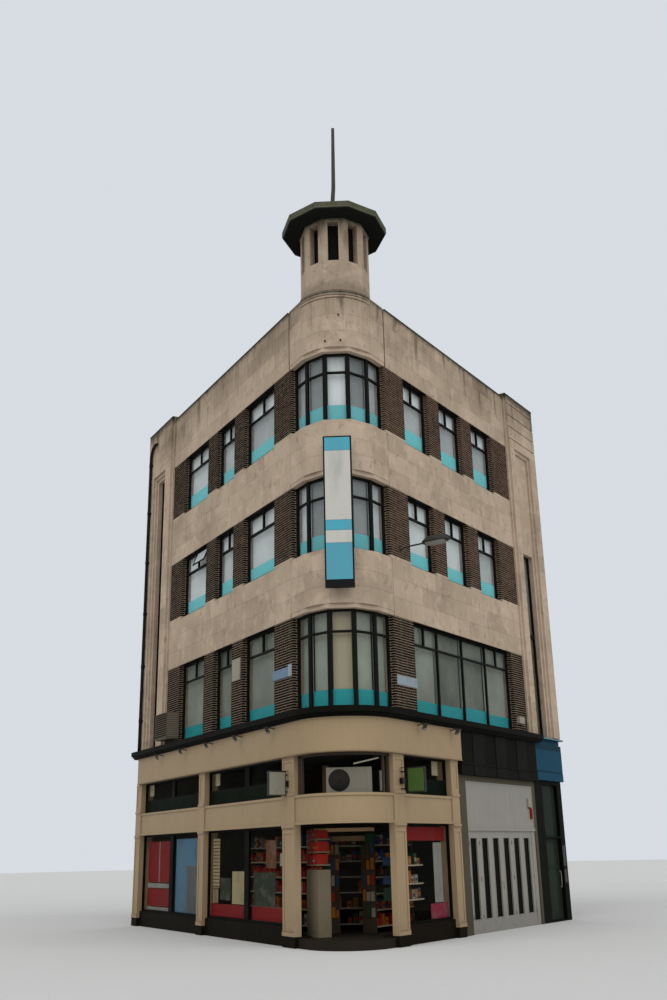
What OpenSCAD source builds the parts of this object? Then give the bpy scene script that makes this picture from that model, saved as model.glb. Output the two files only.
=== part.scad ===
// Corner shop building: a wedge-shaped masonry block of a shop and three upper
// storeys, with a curved corner, brick window bands, a slotted ten-sided
// lantern on the corner and a timber shopfront. Millimetres, +Z up.
// The origin is on the ground at the centre of the corner curve, and the
// corner faces -Y.

/* [Plan] */
// Angle between the two street fronts, in degrees
corner_angle = 65.28; // [60:0.01:72]
// Radius of the curved corner
corner_r = 1100; // [1000:10:1250]
// Length of the left front, from the point where the two fronts would meet
left_len = 13100; // [12800:10:14500]
// Length of the right front, from the same point
right_len = 11860; // [11600:10:13000]
// Width of the stone bay at the end of the left front
left_bay_w = 2240; // [2100:10:2400]
// Width of the stone bay at the end of the right front
right_bay_w = 2080; // [2000:10:2200]
// Thickness of the front walls
front_t = 330; // [300:5:400]
// Thickness of the party walls
party_t = 330; // [250:5:400]
// Gap at each face where two pieces meet
seat_gap = 0.3; // [0.2:0.1:0.5]

/* [Heights] */
// Height of the shop floor above the lowest ground
shop_floor_t = 200; // [150:5:220]
// Height of the first floor
first_floor_z = 4950; // [4900:10:5000]
// Height from one upper floor to the next
storey_h = 3465; // [3400:5:3600]
// Height of a window sill above its floor
sill_h = 735; // [650:5:800]
// Height of the first-floor window sills above their floor
first_sill_h = 310; // [300:5:400]
// Height of the window heads above their floor
head_h = 2695; // [2600:5:2750]
// Height of the parapet above the top window heads
parapet_h = 1810; // [1500:10:2000]
// Thickness of the floors and the roof deck
slab_t = 250; // [150:5:300]
// Height of the faceted lintels and sills round the corner
facet_h = 110; // [60:5:150]

/* [Upper windows] */
// Distance along each front to the side of the corner window
bow_s = 2345; // [2300:5:2500]
// Distance along the left front to its first window
left_first_s = 3360; // [3200:10:3500]
// Width of the narrow window on the left front
left_narrow_w = 1270; // [1100:10:1300]
// Width of the brick piers between windows on the left front
left_pier_w = 700; // [600:10:720]
// Width of the brick pier beside the left end bay
left_end_pier_w = 970; // [900:10:1050]
// Distance along the right front to its first window
right_first_s = 3340; // [3200:10:3400]
// Width of the brick piers between windows on the right front
right_pier_w = 655; // [550:5:680]
// Width of the brick pier beside the right end bay
right_end_pier_w = 1080; // [1000:10:1150]
// Width of the same pier on the first floor, beside the wide window
right_wide_pier_w = 780; // [700:10:850]
// Depth from the wall face to the window frames
window_recess = 140; // [100:5:160]
// Width of the frame members as seen from outside
frame_w = 55; // [40:5:70]
// Depth of the window frames
frame_d = 60; // [40:5:80]
// Width of the posts at the corners of the corner windows
post_w = 110; // [80:5:130]
// Depth of the top lights
toplight_h = 520; // [450:10:600]
// Thickness of the glass, with its putty and film
glass_t = 20; // [10:1:30]

/* [End bays] */
// How far the end bays stand in front of the fronts, in two equal steps
bay_out = 120; // [80:5:140]
// Width of each step at the inner edge of a bay and round its panel
bay_step = 105; // [80:5:120]
// Depth of each of the two steps round the tall panel
panel_step_d = 60; // [40:5:70]
// How far the bays rise over the parapet
bay_rise = 95; // [60:5:130]
// Width of the stair window in the left bay
left_stair_w = 690; // [500:10:700]
// Width of the stair window in the right bay
right_stair_w = 760; // [600:10:780]
// Distance from the end of the left front to its stair window
left_stair_gap = 740; // [640:10:800]
// Distance from the end of the right front to its stair window
right_stair_gap = 660; // [600:10:700]
// Height of the head of the left stair window
left_stair_head_z = 14500; // [14200:10:14700]
// Height of the head of the right stair window
right_stair_head_z = 11080; // [10800:10:11400]
// Height of the head of the right bay's panel
right_panel_head_z = 14400; // [14200:10:14600]
// Number of channels cut in the stone at the top of the right bay
channel_count = 4; // [0:1:4]
// Height of the channels
channel_h = 35; // [20:5:50]
// Depth of the channels
channel_d = 25; // [15:5:40]
// Height from one channel to the next
channel_pitch = 420; // [300:10:450]
// Height of the parapet above the highest channel
channel_top_gap = 230; // [150:10:300]

// Distance from the corner window to the upright joint beside it in the parapet
joint_gap = 55; // [30:5:100]
// Width of that joint
joint_w = 55; // [30:5:80]
// Depth of that joint
joint_d = 25; // [15:5:40]

/* [Lantern] */
// Height from one reed to the next in the moulding at the top of the curved parapet
reed_pitch = 80; // [60:5:100]
// Number of reeds in the moulding
reed_count = 3; // [2:1:4]
// Gap under each reed
reed_gap = 25; // [15:1:40]
// How far the reeds stand out
reed_out = 35; // [20:5:50]
// Radius over the corners of the ten-sided lantern
lantern_r = 970; // [930:10:1000]
// Height of the lantern
lantern_h = 2385; // [2200:5:2500]
// Thickness of the lantern's wall
lantern_t = 210; // [150:5:240]
// Width of each slot
slot_w = 300; // [240:5:330]
// Height of the slot sills above the foot of the lantern
slot_sill_h = 1045; // [900:5:1100]
// Depth of the ring beam over the slots
ring_h = 110; // [80:5:200]
// How far the ledge at the foot of the ring beam stands out
ring_ledge_out = 25; // [15:5:40]
// Height of that ledge
ring_ledge_h = 35; // [20:5:60]
// Radius over the corners of the cap
cap_r = 1500; // [1400:10:1550]
// Thickness of the cap
cap_t = 240; // [150:5:280]
// Depth of the lip under the cap
cap_lip_t = 40; // [30:5:80]
// How far the lip is set back from the cap's edge
cap_lip_in = 30; // [20:5:60]
// How far the cap's top falls from its middle to its edge
cap_fall = 30; // [20:5:90]
// Length of the mast
mast_h = 3530; // [3000:10:4000]
// Radius of the mast at its foot
mast_r = 68; // [50:1:80]
// Radius of the round plate under the mast
mast_foot_r = 130; // [100:5:160]
// Height of that plate
mast_foot_h = 40; // [20:5:60]
// Thickness of the floor at the foot of the lantern's drum
drum_floor_t = 20; // [10:5:40]

/* [Shopfront] */
// Height of the underside of the big fascia
fascia_z = 4236; // [4200:2:4280]
// How far the big fascia stands out from the wall
fascia_out = 150; // [120:5:180]
// How far the ledge over the fascia stands out from the wall
ledge_out = 330; // [250:5:400]
// Thickness of the ledge
ledge_t = 230; // [150:5:240]
// Height of each of the two steps under the ledge
ledge_step_h = 45; // [30:5:60]
// Depth of each of those steps
ledge_step_d = 50; // [30:5:60]
// Height of the bottom of the lower fascia
mid_fascia_z = 2661; // [2600:1:2700]
// Height of the lower fascia
mid_fascia_h = 666; // [600:2:700]
// How far the lower fascia stands out from the wall
mid_out = 50; // [30:5:60]
// How far the pilasters stand out from the wall
pilaster_out = 90; // [70:5:110]
// Depth of the channel down the face of each pilaster
pilaster_channel_d = 18; // [10:1:25]
// Width of the strip left on each side of the channel
pilaster_strip_w = 70; // [40:5:100]
// Height of the plain foot and head of each pilaster
pilaster_foot_h = 130; // [80:10:200]
// How far the corner pilasters run back behind the wall face
corner_post_d = 80; // [70:5:330]
// How far the mouldings stand out from the lower fascia and pilasters
moulding_out = 25; // [15:5:40]
// Height of each moulding
moulding_h = 60; // [40:5:80]
// Height of the stall riser under the shop windows
riser_h = 430; // [380:5:480]
// Height of the dark blocks under the pilasters
block_h = 240; // [225:5:300]
// How far those blocks stand out from the wall
block_out = 100; // [90:5:120]
// Depth of the shop window frames behind the wall face
shop_recess = 60; // [40:5:90]
// Width of the dark posts in the shop windows
shop_post_w = 260; // [200:10:300]
// Distance along the left front to the middle of the first post
left_post_near_s = 5060; // [4900:10:5200]
// Distance from the left end pilaster to the middle of the second post
left_post_far_gap = 2390; // [2200:10:2500]
// Height of the dark panels in the top lights
top_panel_h = 330; // [250:10:400]
// How far the shutter box runs back behind the lower fascia at the entrance
shutter_box_d = 380; // [320:10:420]
// Distance along the left front to the corner pilaster
left_corner_s = 2160; // [2100:10:2250]
// Width of the corner pilaster on the left front
left_corner_w = 610; // [500:10:650]
// Distance along the left front to the middle pilaster
left_mid_s = 7520; // [7400:10:7700]
// Width of the middle pilaster on the left front
left_mid_w = 400; // [300:10:450]
// Width of the end pilaster on the left front
left_end_w = 450; // [350:10:500]
// Distance along the right front to the corner pilaster
right_corner_s = 1940; // [1900:10:2000]
// Width of the corner pilaster on the right front
right_corner_w = 480; // [400:10:550]
// Distance along the right front to the end of the cream shopfront
right_mid_s = 5100; // [5000:10:5200]
// Width of the pilaster there
right_mid_w = 380; // [300:10:420]
// How far the big fascia runs on past that pilaster
fascia_over = 150; // [100:10:200]
// How far the big fascia stops short of the left end
fascia_end_gap = 200; // [0:10:300]

/* [Posters and shelves] */
// Thickness of the boards inside the shop windows
board_t = 15; // [8:1:25]
// Height of the tops of the tall boards
board_top_z = 2520; // [2400:10:2600]
// Height of the tops of the low strips
strip_top_z = 790; // [700:10:900]
// Depth of the long board under the head of the right window
long_board_h = 340; // [250:10:400]
// Gap between the tall boards and the sides of their window
board_side_gap = 190; // [150:10:300]
// Width of the low board in the right window
low_board_w = 900; // [700:10:1000]
// Height of the shelving above the shop floor
shelf_h = 2000; // [1800:10:2100]
// Depth of the shelving from front to back
shelf_d = 400; // [300:10:450]
// Thickness of the shelves and their ends
shelf_t = 30; // [20:1:40]
// Number of shelves in a stack
shelf_count = 6; // [4:1:8]
// Height of the lowest shelf above the shop floor
low_shelf_h = 120; // [80:10:200]
// Distance from each wall face to the shelving beside the windows
shelf_back = 1200; // [1000:10:1300]
// Distance along each front to the start of the shelving
shelf_start_s = 3000; // [2900:10:3200]
// Distance from the shelving's other end to the middle pilasters
shelf_end_gap = 320; // [250:10:500]
// Distance from the origin to the front of the middle stack
mid_shelf_y = 2300; // [2200:10:2500]
// Width of the middle stack
mid_shelf_w = 1450; // [1200:10:1500]

/* [Second unit and street door] */
// Width of the grey post between the cream shopfront and the white doors
near_post_w = 540; // [450:10:600]
// Width of the grey post at the far side of the white doors
far_post_w = 160; // [120:10:200]
// Height of the white doors
doors_h = 2510; // [2400:10:2600]
// Thickness of the white doors
doors_t = 50; // [40:5:60]
// How far the white doors are set back
doors_recess = 40; // [20:5:60]
// Number of narrow panes in the white doors
pane_count = 6; // [4:1:8]
// Width of each narrow pane
pane_w = 350; // [250:10:360]
// Distance from the near side of the white doors to the first pane
pane_near = 160; // [120:10:200]
// Distance from the last pane to the far side of the white doors
pane_far = 385; // [300:5:420]
// Height of the foot of the panes
pane_foot_z = 340; // [300:10:400]
// Depth of the rail over the panes
pane_rail_h = 190; // [150:10:250]
// Thickness of the panes
pane_t = 12; // [8:1:16]
// Height of the top of the white board over the doors
white_top_z = 3760; // [3700:10:3800]
// How far the white board is set back
white_recess = 20; // [10:5:30]
// Thickness of the white board
white_t = 80; // [50:5:100]
// Height of the bottom of the charcoal fascia
charcoal_z = 3900; // [3850:10:3950]
// How far the charcoal fascia stands out from the wall
charcoal_out = 130; // [110:5:150]
// Number of upright boards in the charcoal fascia
charcoal_boards = 7; // [5:1:9]
// Width and depth of the joints between them
groove_w = 12; // [8:1:20]
// Width of the blue panel
blue_w = 1920; // [1850:10:2000]
// How far the blue panel stands out from the wall
blue_out = 110; // [90:5:130]
// Height of the bottom of the blue panel
blue_z = 3960; // [3920:10:4000]
// How far the ledge runs on over the blue panel
ledge_over = 220; // [150:10:300]
// Thickness of the flashing over the blue panel
flashing_t = 40; // [20:5:60]
// How far the flashing stands out from the wall
flashing_out = 210; // [180:5:250]
// Distance from the end of the right front to the street door
street_end_w = 310; // [280:10:350]
// Width of the dark post between the grey post and the street door
street_post_w = 550; // [450:10:600]
// Width of the street door's opening
street_door_w = 1100; // [950:10:1150]
// Height of the street door's head
street_door_h = 2300; // [2100:10:2400]
// Thickness of the street door
street_door_t = 50; // [40:5:60]
// Clearance round the street door
door_gap = 8; // [7:1:10]
// Width of the stiles of the street door
stile_w = 110; // [80:5:140]
// Height of the kick rail of the street door
kick_h = 220; // [150:10:300]
// Height of the middle of the rail across the street door
mid_rail_z = 1500; // [1300:10:1600]
// Height of that rail
mid_rail_h = 70; // [50:5:100]
// Height of the transom over the street door
transom_h = 60; // [40:5:90]
// Height of the top of the fan light over it
fan_head_z = 3850; // [3800:10:3900]
// Depth of the street door behind the wall face
street_recess = 120; // [60:5:160]
// Height of the street door's threshold
threshold_t = 40; // [20:5:60]
// How far the lobby behind the street door runs back
lobby_d = 1500; // [1350:10:2000]
// Radius of the door's hinge knuckles
hinge_r = 9; // [6:0.5:12]
// Length of each knuckle
knuckle_h = 60; // [40:5:80]
// Distance from the ends of the leaf to its outer hinges
hinge_end = 250; // [200:10:350]
// Width of the hinge plates on the leaf
hinge_plate_w = 40; // [30:1:60]
// Thickness of those plates
hinge_plate_t = 4; // [3:0.5:6]

/* [Fittings] */
// Width of the upright sign box on the corner
sign_w = 720; // [600:10:800]
// Depth of the sign box
sign_d = 180; // [120:5:200]
// Height of the foot of the sign box
sign_z = 8080; // [8000:10:8200]
// Height of the sign box
sign_h = 3910; // [3800:10:4000]
// Gap between the sign box and the wall
sign_gap = 150; // [100:5:200]
// Thickness of the sign box's brackets
sign_bracket = 50; // [30:5:70]
// Distance from each end of the sign box to its brackets
sign_bracket_end = 250; // [200:10:400]
// Width of the case round the sign's panels
sign_rim = 35; // [20:5:50]
// How far the panels lie behind the case
sign_panel_in = 15; // [5:1:25]
// Height of the foot of the case
sign_foot_h = 190; // [100:10:250]
// Height of the foot of the hanging signs
hang_z = 3340; // [3335:5:3450]
// Height of the hanging signs
hang_h = 560; // [450:10:600]
// How far the left hanging sign reaches out
left_hang_w = 460; // [400:10:550]
// How far the right hanging sign reaches out
right_hang_w = 470; // [400:10:550]
// Thickness of the hanging signs
hang_t = 80; // [50:5:100]
// Gap between the left hanging sign and its pilaster
left_hang_gap = 60; // [40:5:160]
// Gap between the right hanging sign and its pilaster
right_hang_gap = 200; // [80:5:240]
// Height of the hanging signs' brackets
hang_bracket_h = 160; // [80:10:200]
// Distance from the edge of its pilaster to the middle of the left hanging sign
left_hang_edge = 270; // [100:10:300]
// Distance from the edge of its pilaster to the middle of the right hanging sign
right_hang_edge = 150; // [100:10:200]
// Length of the cooling unit over the entrance
unit_w = 1060; // [900:10:1100]
// Depth of the cooling unit
unit_d = 260; // [200:10:280]
// Height of the cooling unit
unit_h = 580; // [450:10:620]
// Distance from the origin to the front of the cooling unit
unit_y = 800; // [750:10:850]
// Number of floodlights on the left front
left_flood_count = 5; // [3:1:6]
// Number of floodlights on the right front
right_flood_count = 2; // [1:1:3]
// Distance along each front to its first floodlight
flood_first_s = 3050; // [2900:10:3200]
// Distance from the left end bay to the last floodlight
left_flood_end = 180; // [100:10:400]
// Distance from the last floodlight to the end of the cream shopfront
right_flood_end = 400; // [300:10:500]
// Length of the floodlights' arms
flood_arm = 260; // [180:10:320]
// Width of the floodlights
flood_w = 180; // [120:5:200]
// Height of the floodlights
flood_h = 120; // [90:5:150]
// Thickness of the floodlights' arms
flood_bar = 30; // [20:1:40]
// Depth of the floodlights' arms under the ledge
flood_drop = 60; // [40:5:120]
// Distance along the right front to the lamp on its arm
lamp_s = 2820; // [2700:10:2900]
// Height of the lamp's arm
lamp_z = 9500; // [9400:10:9600]
// Length of the lamp's arm
lamp_arm = 750; // [600:10:900]
// Length of the lamp's head
lamp_head = 700; // [500:10:800]
// Height of the lamp's head
lamp_head_h = 110; // [80:5:150]
// Radius of the lamp's arm
lamp_arm_r = 21; // [15:1:30]
// Radius of the rainwater pipe
pipe_r = 50; // [35:1:55]
// Distance from the end of the left front to the pipe
pipe_end = 350; // [200:10:500]
// Distance from the outlet to the pipe, along the front
swan_w = 450; // [300:10:500]
// Gap between the pipe and the wall
pipe_stand = 25; // [15:5:50]
// Width of the clips that hold the pipe
pipe_clip_w = 150; // [120:5:200]
// Height of the parapet above the pipe's outlet
outlet_drop = 430; // [350:10:500]
// How far the vent box stands out from the wall
vent_out = 400; // [350:10:500]
// Height of the vent box
vent_h = 790; // [700:10:850]
// Width of the vent box
vent_w = 1000; // [900:10:1050]
// Gap between the vent box and the left end bay
vent_gap = 50; // [30:5:80]
// Number of slots in the front of the vent box
vent_slats = 6; // [4:1:10]
// Depth of those slots
vent_slat_d = 30; // [20:1:50]
// Height of the vent box's foot above the ledge
vent_foot = 150; // [100:10:200]

/* [Hidden] */
half = corner_angle / 2;
vertex_d = corner_r / sin(half);
facet_turn = (180 - corner_angle) / 3;
lantern_flat = cos(18);
corner_steps = 32;
eps = 1;
bay_inner_left = left_len - left_bay_w;
bay_inner_right = right_len - right_bay_w;
first_sill_z = first_floor_z + first_sill_h;
second_floor_z = first_floor_z + storey_h;
third_floor_z = second_floor_z + storey_h;
roof_z = third_floor_z + storey_h;
top_head_z = third_floor_z + head_h;
parapet_z = top_head_z + parapet_h;
cap_z = parapet_z + lantern_h;
ledge_z = first_sill_z - ledge_t;
mid_top_z = mid_fascia_z + mid_fascia_h;
fascia_end_s = right_mid_s + fascia_over;
blue_s = right_len - blue_w;
ledge_end_s = blue_s + ledge_over;
street_door_s = right_len - street_end_w - street_door_w;
doors_s = right_mid_s + near_post_w;
doors_end = street_door_s - street_post_w - far_post_w;
frame_back = window_recess + frame_d;
shop_frame_back = shop_recess + frame_d;
// The street door's hinge line, in front of the leaf's inner face, and its hinges
hinge_s = street_door_s + door_gap / 2;
hinge_y = street_recess + street_door_t + hinge_r + 1;
hinge_heights = [hinge_end, street_door_h / 2, street_door_h - hinge_end];
// The post is cut away round the leaf's knuckles, this far from the hinge line
knuckle_room = hinge_r + 1;
// Sill and head of the windows of each storey
storeys = [
    [first_sill_z, first_floor_z + head_h],
    [second_floor_z + sill_h, second_floor_z + head_h],
    [third_floor_z + sill_h, top_head_z]
];
// Start and width of each window along a front
left_wide_w = (bay_inner_left - left_end_pier_w - left_first_s - 2 * left_pier_w - left_narrow_w) / 2;
left_windows = [
    [left_first_s, left_wide_w],
    [left_first_s + left_wide_w + left_pier_w, left_narrow_w],
    [left_first_s + left_wide_w + left_narrow_w + 2 * left_pier_w, left_wide_w]
];
right_window_w = (bay_inner_right - right_end_pier_w - right_first_s - 2 * right_pier_w) / 3;
right_windows = [for (i = [0:2]) [right_first_s + i * (right_window_w + right_pier_w), right_window_w]];
right_wide = [[right_first_s, bay_inner_right - right_wide_pier_w - right_first_s]];
// Start and end of each run of the shopfront between pilasters
left_bays = [
    [left_corner_s + left_corner_w, left_mid_s],
    [left_mid_s + left_mid_w, left_len - left_end_w]
];
right_bays = [[right_corner_s + right_corner_w, right_mid_s - right_mid_w]];
left_post_far_s = left_bays[1][1] - left_post_far_gap;
// Foot and head of the shop windows and of the top lights over them
shop_window_z = [[riser_h, mid_fascia_z], [mid_top_z + top_panel_h, fascia_z]];
// Sides of the stair windows in the end bays
left_slot = [left_len - left_stair_gap - left_stair_w, left_len - left_stair_gap];
right_slot = [right_len - right_stair_gap - right_stair_w, right_len - right_stair_gap];

// A point s along a front and y inside its face
function left_pt(s, y) = [y * cos(half) - s * sin(half), s * cos(half) + y * sin(half) - vertex_d];
function right_pt(s, y) = [s * sin(half) - y * cos(half), s * cos(half) + y * sin(half) - vertex_d];
// How far the left party wall runs back when the fronts are a and b long
function back_depth(a, b) = ((a + b) * tan(half) - (a - b) / tan(half)) / 2;
// Where two plan lines meet, each given by its normal's angle and its distance
function meet(a, d, b, e) = [d * sin(b) - e * sin(a), e * cos(a) - d * cos(b)] / sin(b - a);
// The facets of the corner, as the angles of their normals and their distances
function facet_angle(i) = i == 0 ? 180 + half : i == 4 ? 360 - half : 270 + (i - 2) * facet_turn;
function facet_dist(i, y) = (i == 0 || i == 4 ? corner_r : corner_r * cos(facet_turn / 2)) - y;
// The corners of the faceted corner, y inside its face
function facet_corners(y) = [for (i = [0:3])
    meet(facet_angle(i), facet_dist(i, y), facet_angle(i + 1), facet_dist(i + 1, y))];
function facet_points(y) = concat([left_pt(bow_s, y)], facet_corners(y), [right_pt(bow_s, y)]);
function reversed(v) = [for (i = [len(v) - 1:-1:0]) v[i]];
// A span drawn in by the seat gap at both ends
function seated(v) = [v[0] + seat_gap, v[1] - seat_gap];

// Children drawn with x along a front, y into the building and z up
module left_side() translate([0, -vertex_d, 0]) rotate(90 + half) mirror([0, 1, 0]) children();
module right_side() translate([0, -vertex_d, 0]) rotate(90 - half) children();

// A block between two places along a front, two depths and two heights
module block(s, y, z) translate([s[0], y[0], z[0]]) cube([s[1] - s[0], y[1] - y[0], z[1] - z[0]]);

// A plan drawn up between two heights
module raised(z) translate([0, 0, z[0]]) linear_extrude(z[1] - z[0]) children();

// The curved corner as points, y inside its face, from the left front to the right
function corner_arc(y) = [for (i = [0:corner_steps])
    let (turn = 180 + half + (180 - corner_angle) * i / corner_steps)
    (corner_r - y) * [cos(turn), sin(turn)]];

// Plan of a strip along both fronts and round the corner
module round_strip(y0, y1, left_end, right_end) {
    polygon(concat(
        [left_pt(left_end, y0)], corner_arc(y0), [right_pt(right_end, y0), right_pt(right_end, y1)],
        reversed(corner_arc(y1)), [left_pt(left_end, y1)]
    ));
}

// Plan of the front wall between the end bays, round a corner with the given
// points on its outer and inner faces
module wall_strip(outer, inner) {
    left_end = bay_inner_left - seat_gap;
    right_end = bay_inner_right - seat_gap;
    polygon(concat(
        [left_pt(left_end, 0), left_pt(bow_s, 0)], outer,
        [right_pt(bow_s, 0), right_pt(right_end, 0), right_pt(right_end, front_t), right_pt(bow_s, front_t)],
        reversed(inner), [left_pt(bow_s, front_t), left_pt(left_end, front_t)]
    ));
}

module facet_ring(y0, y1) polygon(concat(facet_points(y0), reversed(facet_points(y1))));

// Plan of the rooms, inside every wall
module room_plan() {
    inner_left = left_len - party_t - seat_gap;
    inner_right = right_len - party_t - seat_gap;
    front = front_t + seat_gap;
    polygon(concat(
        [left_pt(inner_left, back_depth(inner_left, inner_right)), left_pt(inner_left, front)],
        corner_arc(front), [right_pt(inner_right, front)]
    ));
}

module slab(z) raised([z - slab_t, z]) room_plan();

// The shop floor runs out to the wall face in the corner entrance, and drops to
// the threshold in the lobby behind the street door
module shop_floor() {
    color("dimgray") difference() {
        linear_extrude(shop_floor_t) {
            room_plan();
            round_strip(0, 2 * front_t, left_corner_s - seat_gap, right_corner_s - seat_gap);
        }
        right_side() block([street_door_s - door_gap, street_door_s + street_door_w + door_gap],
            [front_t - eps, lobby_d], [threshold_t, shop_floor_t + eps]);
    }
}

module upper_floors() color("gainsboro") for (z = [first_floor_z, second_floor_z, third_floor_z]) slab(z);

module roof_deck() color("dimgray") slab(roof_z);

// A plain wall that runs back from the end of a front to a mitre
module left_party_wall() {
    inner = left_len - party_t;
    front = front_t + seat_gap;
    color("tan") linear_extrude(parapet_z) polygon([
        left_pt(left_len, front), left_pt(left_len, back_depth(left_len, right_len) - seat_gap),
        left_pt(inner, back_depth(inner, right_len - party_t) - seat_gap), left_pt(inner, front)
    ]);
}

module right_party_wall() {
    inner = right_len - party_t;
    front = front_t + seat_gap;
    color("tan") linear_extrude(parapet_z) polygon([
        right_pt(right_len, front), right_pt(right_len, back_depth(right_len, left_len) - seat_gap),
        right_pt(inner, back_depth(inner, left_len - party_t) - seat_gap), right_pt(inner, front)
    ]);
}

// The beam over the shopfront, which carries the upper walls
module shop_beam() {
    color("dimgray") raised(seated([fascia_z, first_sill_z]))
        round_strip(seat_gap, front_t, left_len, right_len);
}

// A stone band between two rows of windows, faceted where it meets the glass
module stone_band(z0, z1, faceted_top) {
    round_top = faceted_top ? z1 - facet_h : z1;
    raised([z0, z0 + facet_h]) wall_strip(facet_corners(0), facet_corners(front_t));
    raised([z0 + facet_h, round_top]) wall_strip(corner_arc(0), corner_arc(front_t));
    if (faceted_top) raised([round_top, z1]) wall_strip(facet_corners(0), facet_corners(front_t));
}

module stone_bands() {
    color("tan") {
        stone_band(storeys[0][1], storeys[1][0], true);
        stone_band(storeys[1][1], storeys[2][0], true);
    }
}

// The parapet, with reeds round the top of its curved corner
module parapet() {
    reeds_z = parapet_z - reed_count * reed_pitch;
    reed = concat([corner_arc(0)[0]], corner_arc(-reed_out), [corner_arc(0)[corner_steps]]);
    color("tan") difference() {
        union() {
            stone_band(top_head_z, reeds_z, false);
            for (i = [0:reed_count - 1]) {
                z = reeds_z + i * reed_pitch;
                raised([z, z + reed_gap]) wall_strip(corner_arc(0), corner_arc(front_t));
                raised([z + reed_gap, z + reed_pitch]) wall_strip(reed, corner_arc(front_t));
            }
        }
        left_side() upright_joint();
        right_side() upright_joint();
    }
}

// The joint beside the corner window, with a wider notch at the top of the parapet
module upright_joint() {
    s = bow_s + joint_gap;
    block([s, s + joint_w], [-eps, joint_d], [top_head_z - eps, parapet_z + eps]);
    block([s - joint_w / 2, s + 1.5 * joint_w], [-eps, 2 * joint_d], [parapet_z - joint_w, parapet_z + eps]);
}

// Brick between the windows of one storey, along one front
module front_piers(windows, z, end_s) {
    starts = concat([bow_s], [for (w = windows) w[0] + w[1]]);
    ends = concat([for (w = windows) w[0]], [end_s]);
    for (i = [0:len(windows)]) block(seated([starts[i], ends[i]]), [0, front_t], seated(z));
}

module brick_piers() {
    color("saddlebrown") for (i = [0:2]) {
        left_side() front_piers(left_windows, storeys[i], bay_inner_left);
        right_side() front_piers(i == 0 ? right_wide : right_windows, storeys[i], bay_inner_right);
    }
}

// An end bay, with stepped edges, a tall stepped panel and a window slot
module end_bay(length, bay_w, slot, slot_head_z, panel_head_z, channels) {
    inner = length - bay_w;
    z = [first_sill_z, parapet_z + bay_rise];
    difference() {
        union() {
            block([inner, length], [-bay_out / 2, front_t], z);
            block([inner + bay_step, length], [-bay_out, 0], z);
        }
        for (i = [1:2])
            block([slot[0] - (3 - i) * bay_step, slot[1] + (3 - i) * bay_step],
                [-bay_out - eps, i * panel_step_d - bay_out],
                [first_sill_z - eps, panel_head_z + (3 - i) * bay_step]);
        block(slot, [-bay_out - eps, front_t + eps], [first_sill_z - eps, slot_head_z]);
        for (i = [0:1:channels - 1]) {
            channel_z = parapet_z - channel_top_gap - i * channel_pitch;
            block([inner - eps, length + eps], [-bay_out - eps, channel_d - bay_out],
                [channel_z, channel_z + channel_h]);
        }
    }
}

module left_end_bay() {
    color("tan") left_side()
        end_bay(left_len, left_bay_w, left_slot, left_stair_head_z, left_stair_head_z, 0);
}

module right_end_bay() {
    color("tan") right_side()
        end_bay(right_len, right_bay_w, right_slot, right_stair_head_z, right_panel_head_z,
            channel_count);
}

// A flat frame with openings cut for its panes: lights are shares of its
// width, and a light's second value says how many top lights it has
module frame(w, h, lights) {
    inner_w = w - 2 * frame_w;
    total = lights_sum(lights, len(lights));
    difference() {
        cube([w, frame_d, h]);
        for (i = [0:len(lights) - 1]) {
            x0 = frame_w + inner_w * lights_sum(lights, i) / total + (i > 0 ? frame_w / 2 : 0);
            x1 = frame_w + inner_w * lights_sum(lights, i + 1) / total
                - (i < len(lights) - 1 ? frame_w / 2 : 0);
            pane([x0, x1], [frame_w, h - toplight_h - frame_w]);
            tops = lights[i][1];
            top_w = (x1 - x0 - (tops - 1) * frame_w) / tops;
            for (k = [0:tops - 1])
                pane([x0 + k * (top_w + frame_w), x0 + k * (top_w + frame_w) + top_w],
                    [h - toplight_h, h - frame_w]);
        }
    }
}

function lights_sum(lights, n) = n == 0 ? 0 : lights[n - 1][0] + lights_sum(lights, n - 1);

module pane(x, z) block(x, [-eps, frame_d + eps], z);

// The frames of one row of windows
module window_row(windows, z, lights) {
    for (w = windows)
        translate([w[0] + seat_gap, window_recess, z[0] + seat_gap])
            frame(w[1] - 2 * seat_gap, z[1] - z[0] - 2 * seat_gap, lights);
}

module first_floor_windows() {
    color("black") {
        left_side() window_row(left_windows, storeys[0], [[1, 2]]);
        right_side() window_row(right_wide, storeys[0], [[1, 2], [1, 1], [1, 1], [1, 2]]);
    }
}

module upper_windows() {
    color("black") for (i = [1, 2]) {
        left_side() window_row(left_windows, storeys[i], [[1, 2]]);
        right_side() window_row(right_windows, storeys[i], [[1, 2]]);
    }
}

// The faceted window round the corner, with five lights on each storey
module corner_windows() {
    color("black") for (z = storeys) translate([0, 0, z[0] + seat_gap])
        corner_window(z[1] - z[0] - 2 * seat_gap);
}

module corner_window(h) {
    points = facet_points(window_recess + frame_d / 2);
    difference() {
        linear_extrude(h) facet_ring(window_recess, frame_back);
        for (i = [0:4]) {
            run = points[i + 1] - points[i];
            left_edge = i == 0 ? frame_w : post_w / 2;
            right_edge = norm(run) - (i == 4 ? frame_w : post_w / 2);
            translate([points[i][0], points[i][1], 0]) rotate(atan2(run[1], run[0])) {
                facet_pane([left_edge, right_edge], [frame_w, h - toplight_h - frame_w]);
                facet_pane([left_edge, right_edge], [h - toplight_h, h - frame_w]);
            }
        }
    }
}

module facet_pane(x, z) block(x, [-frame_d, frame_d], z);

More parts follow.
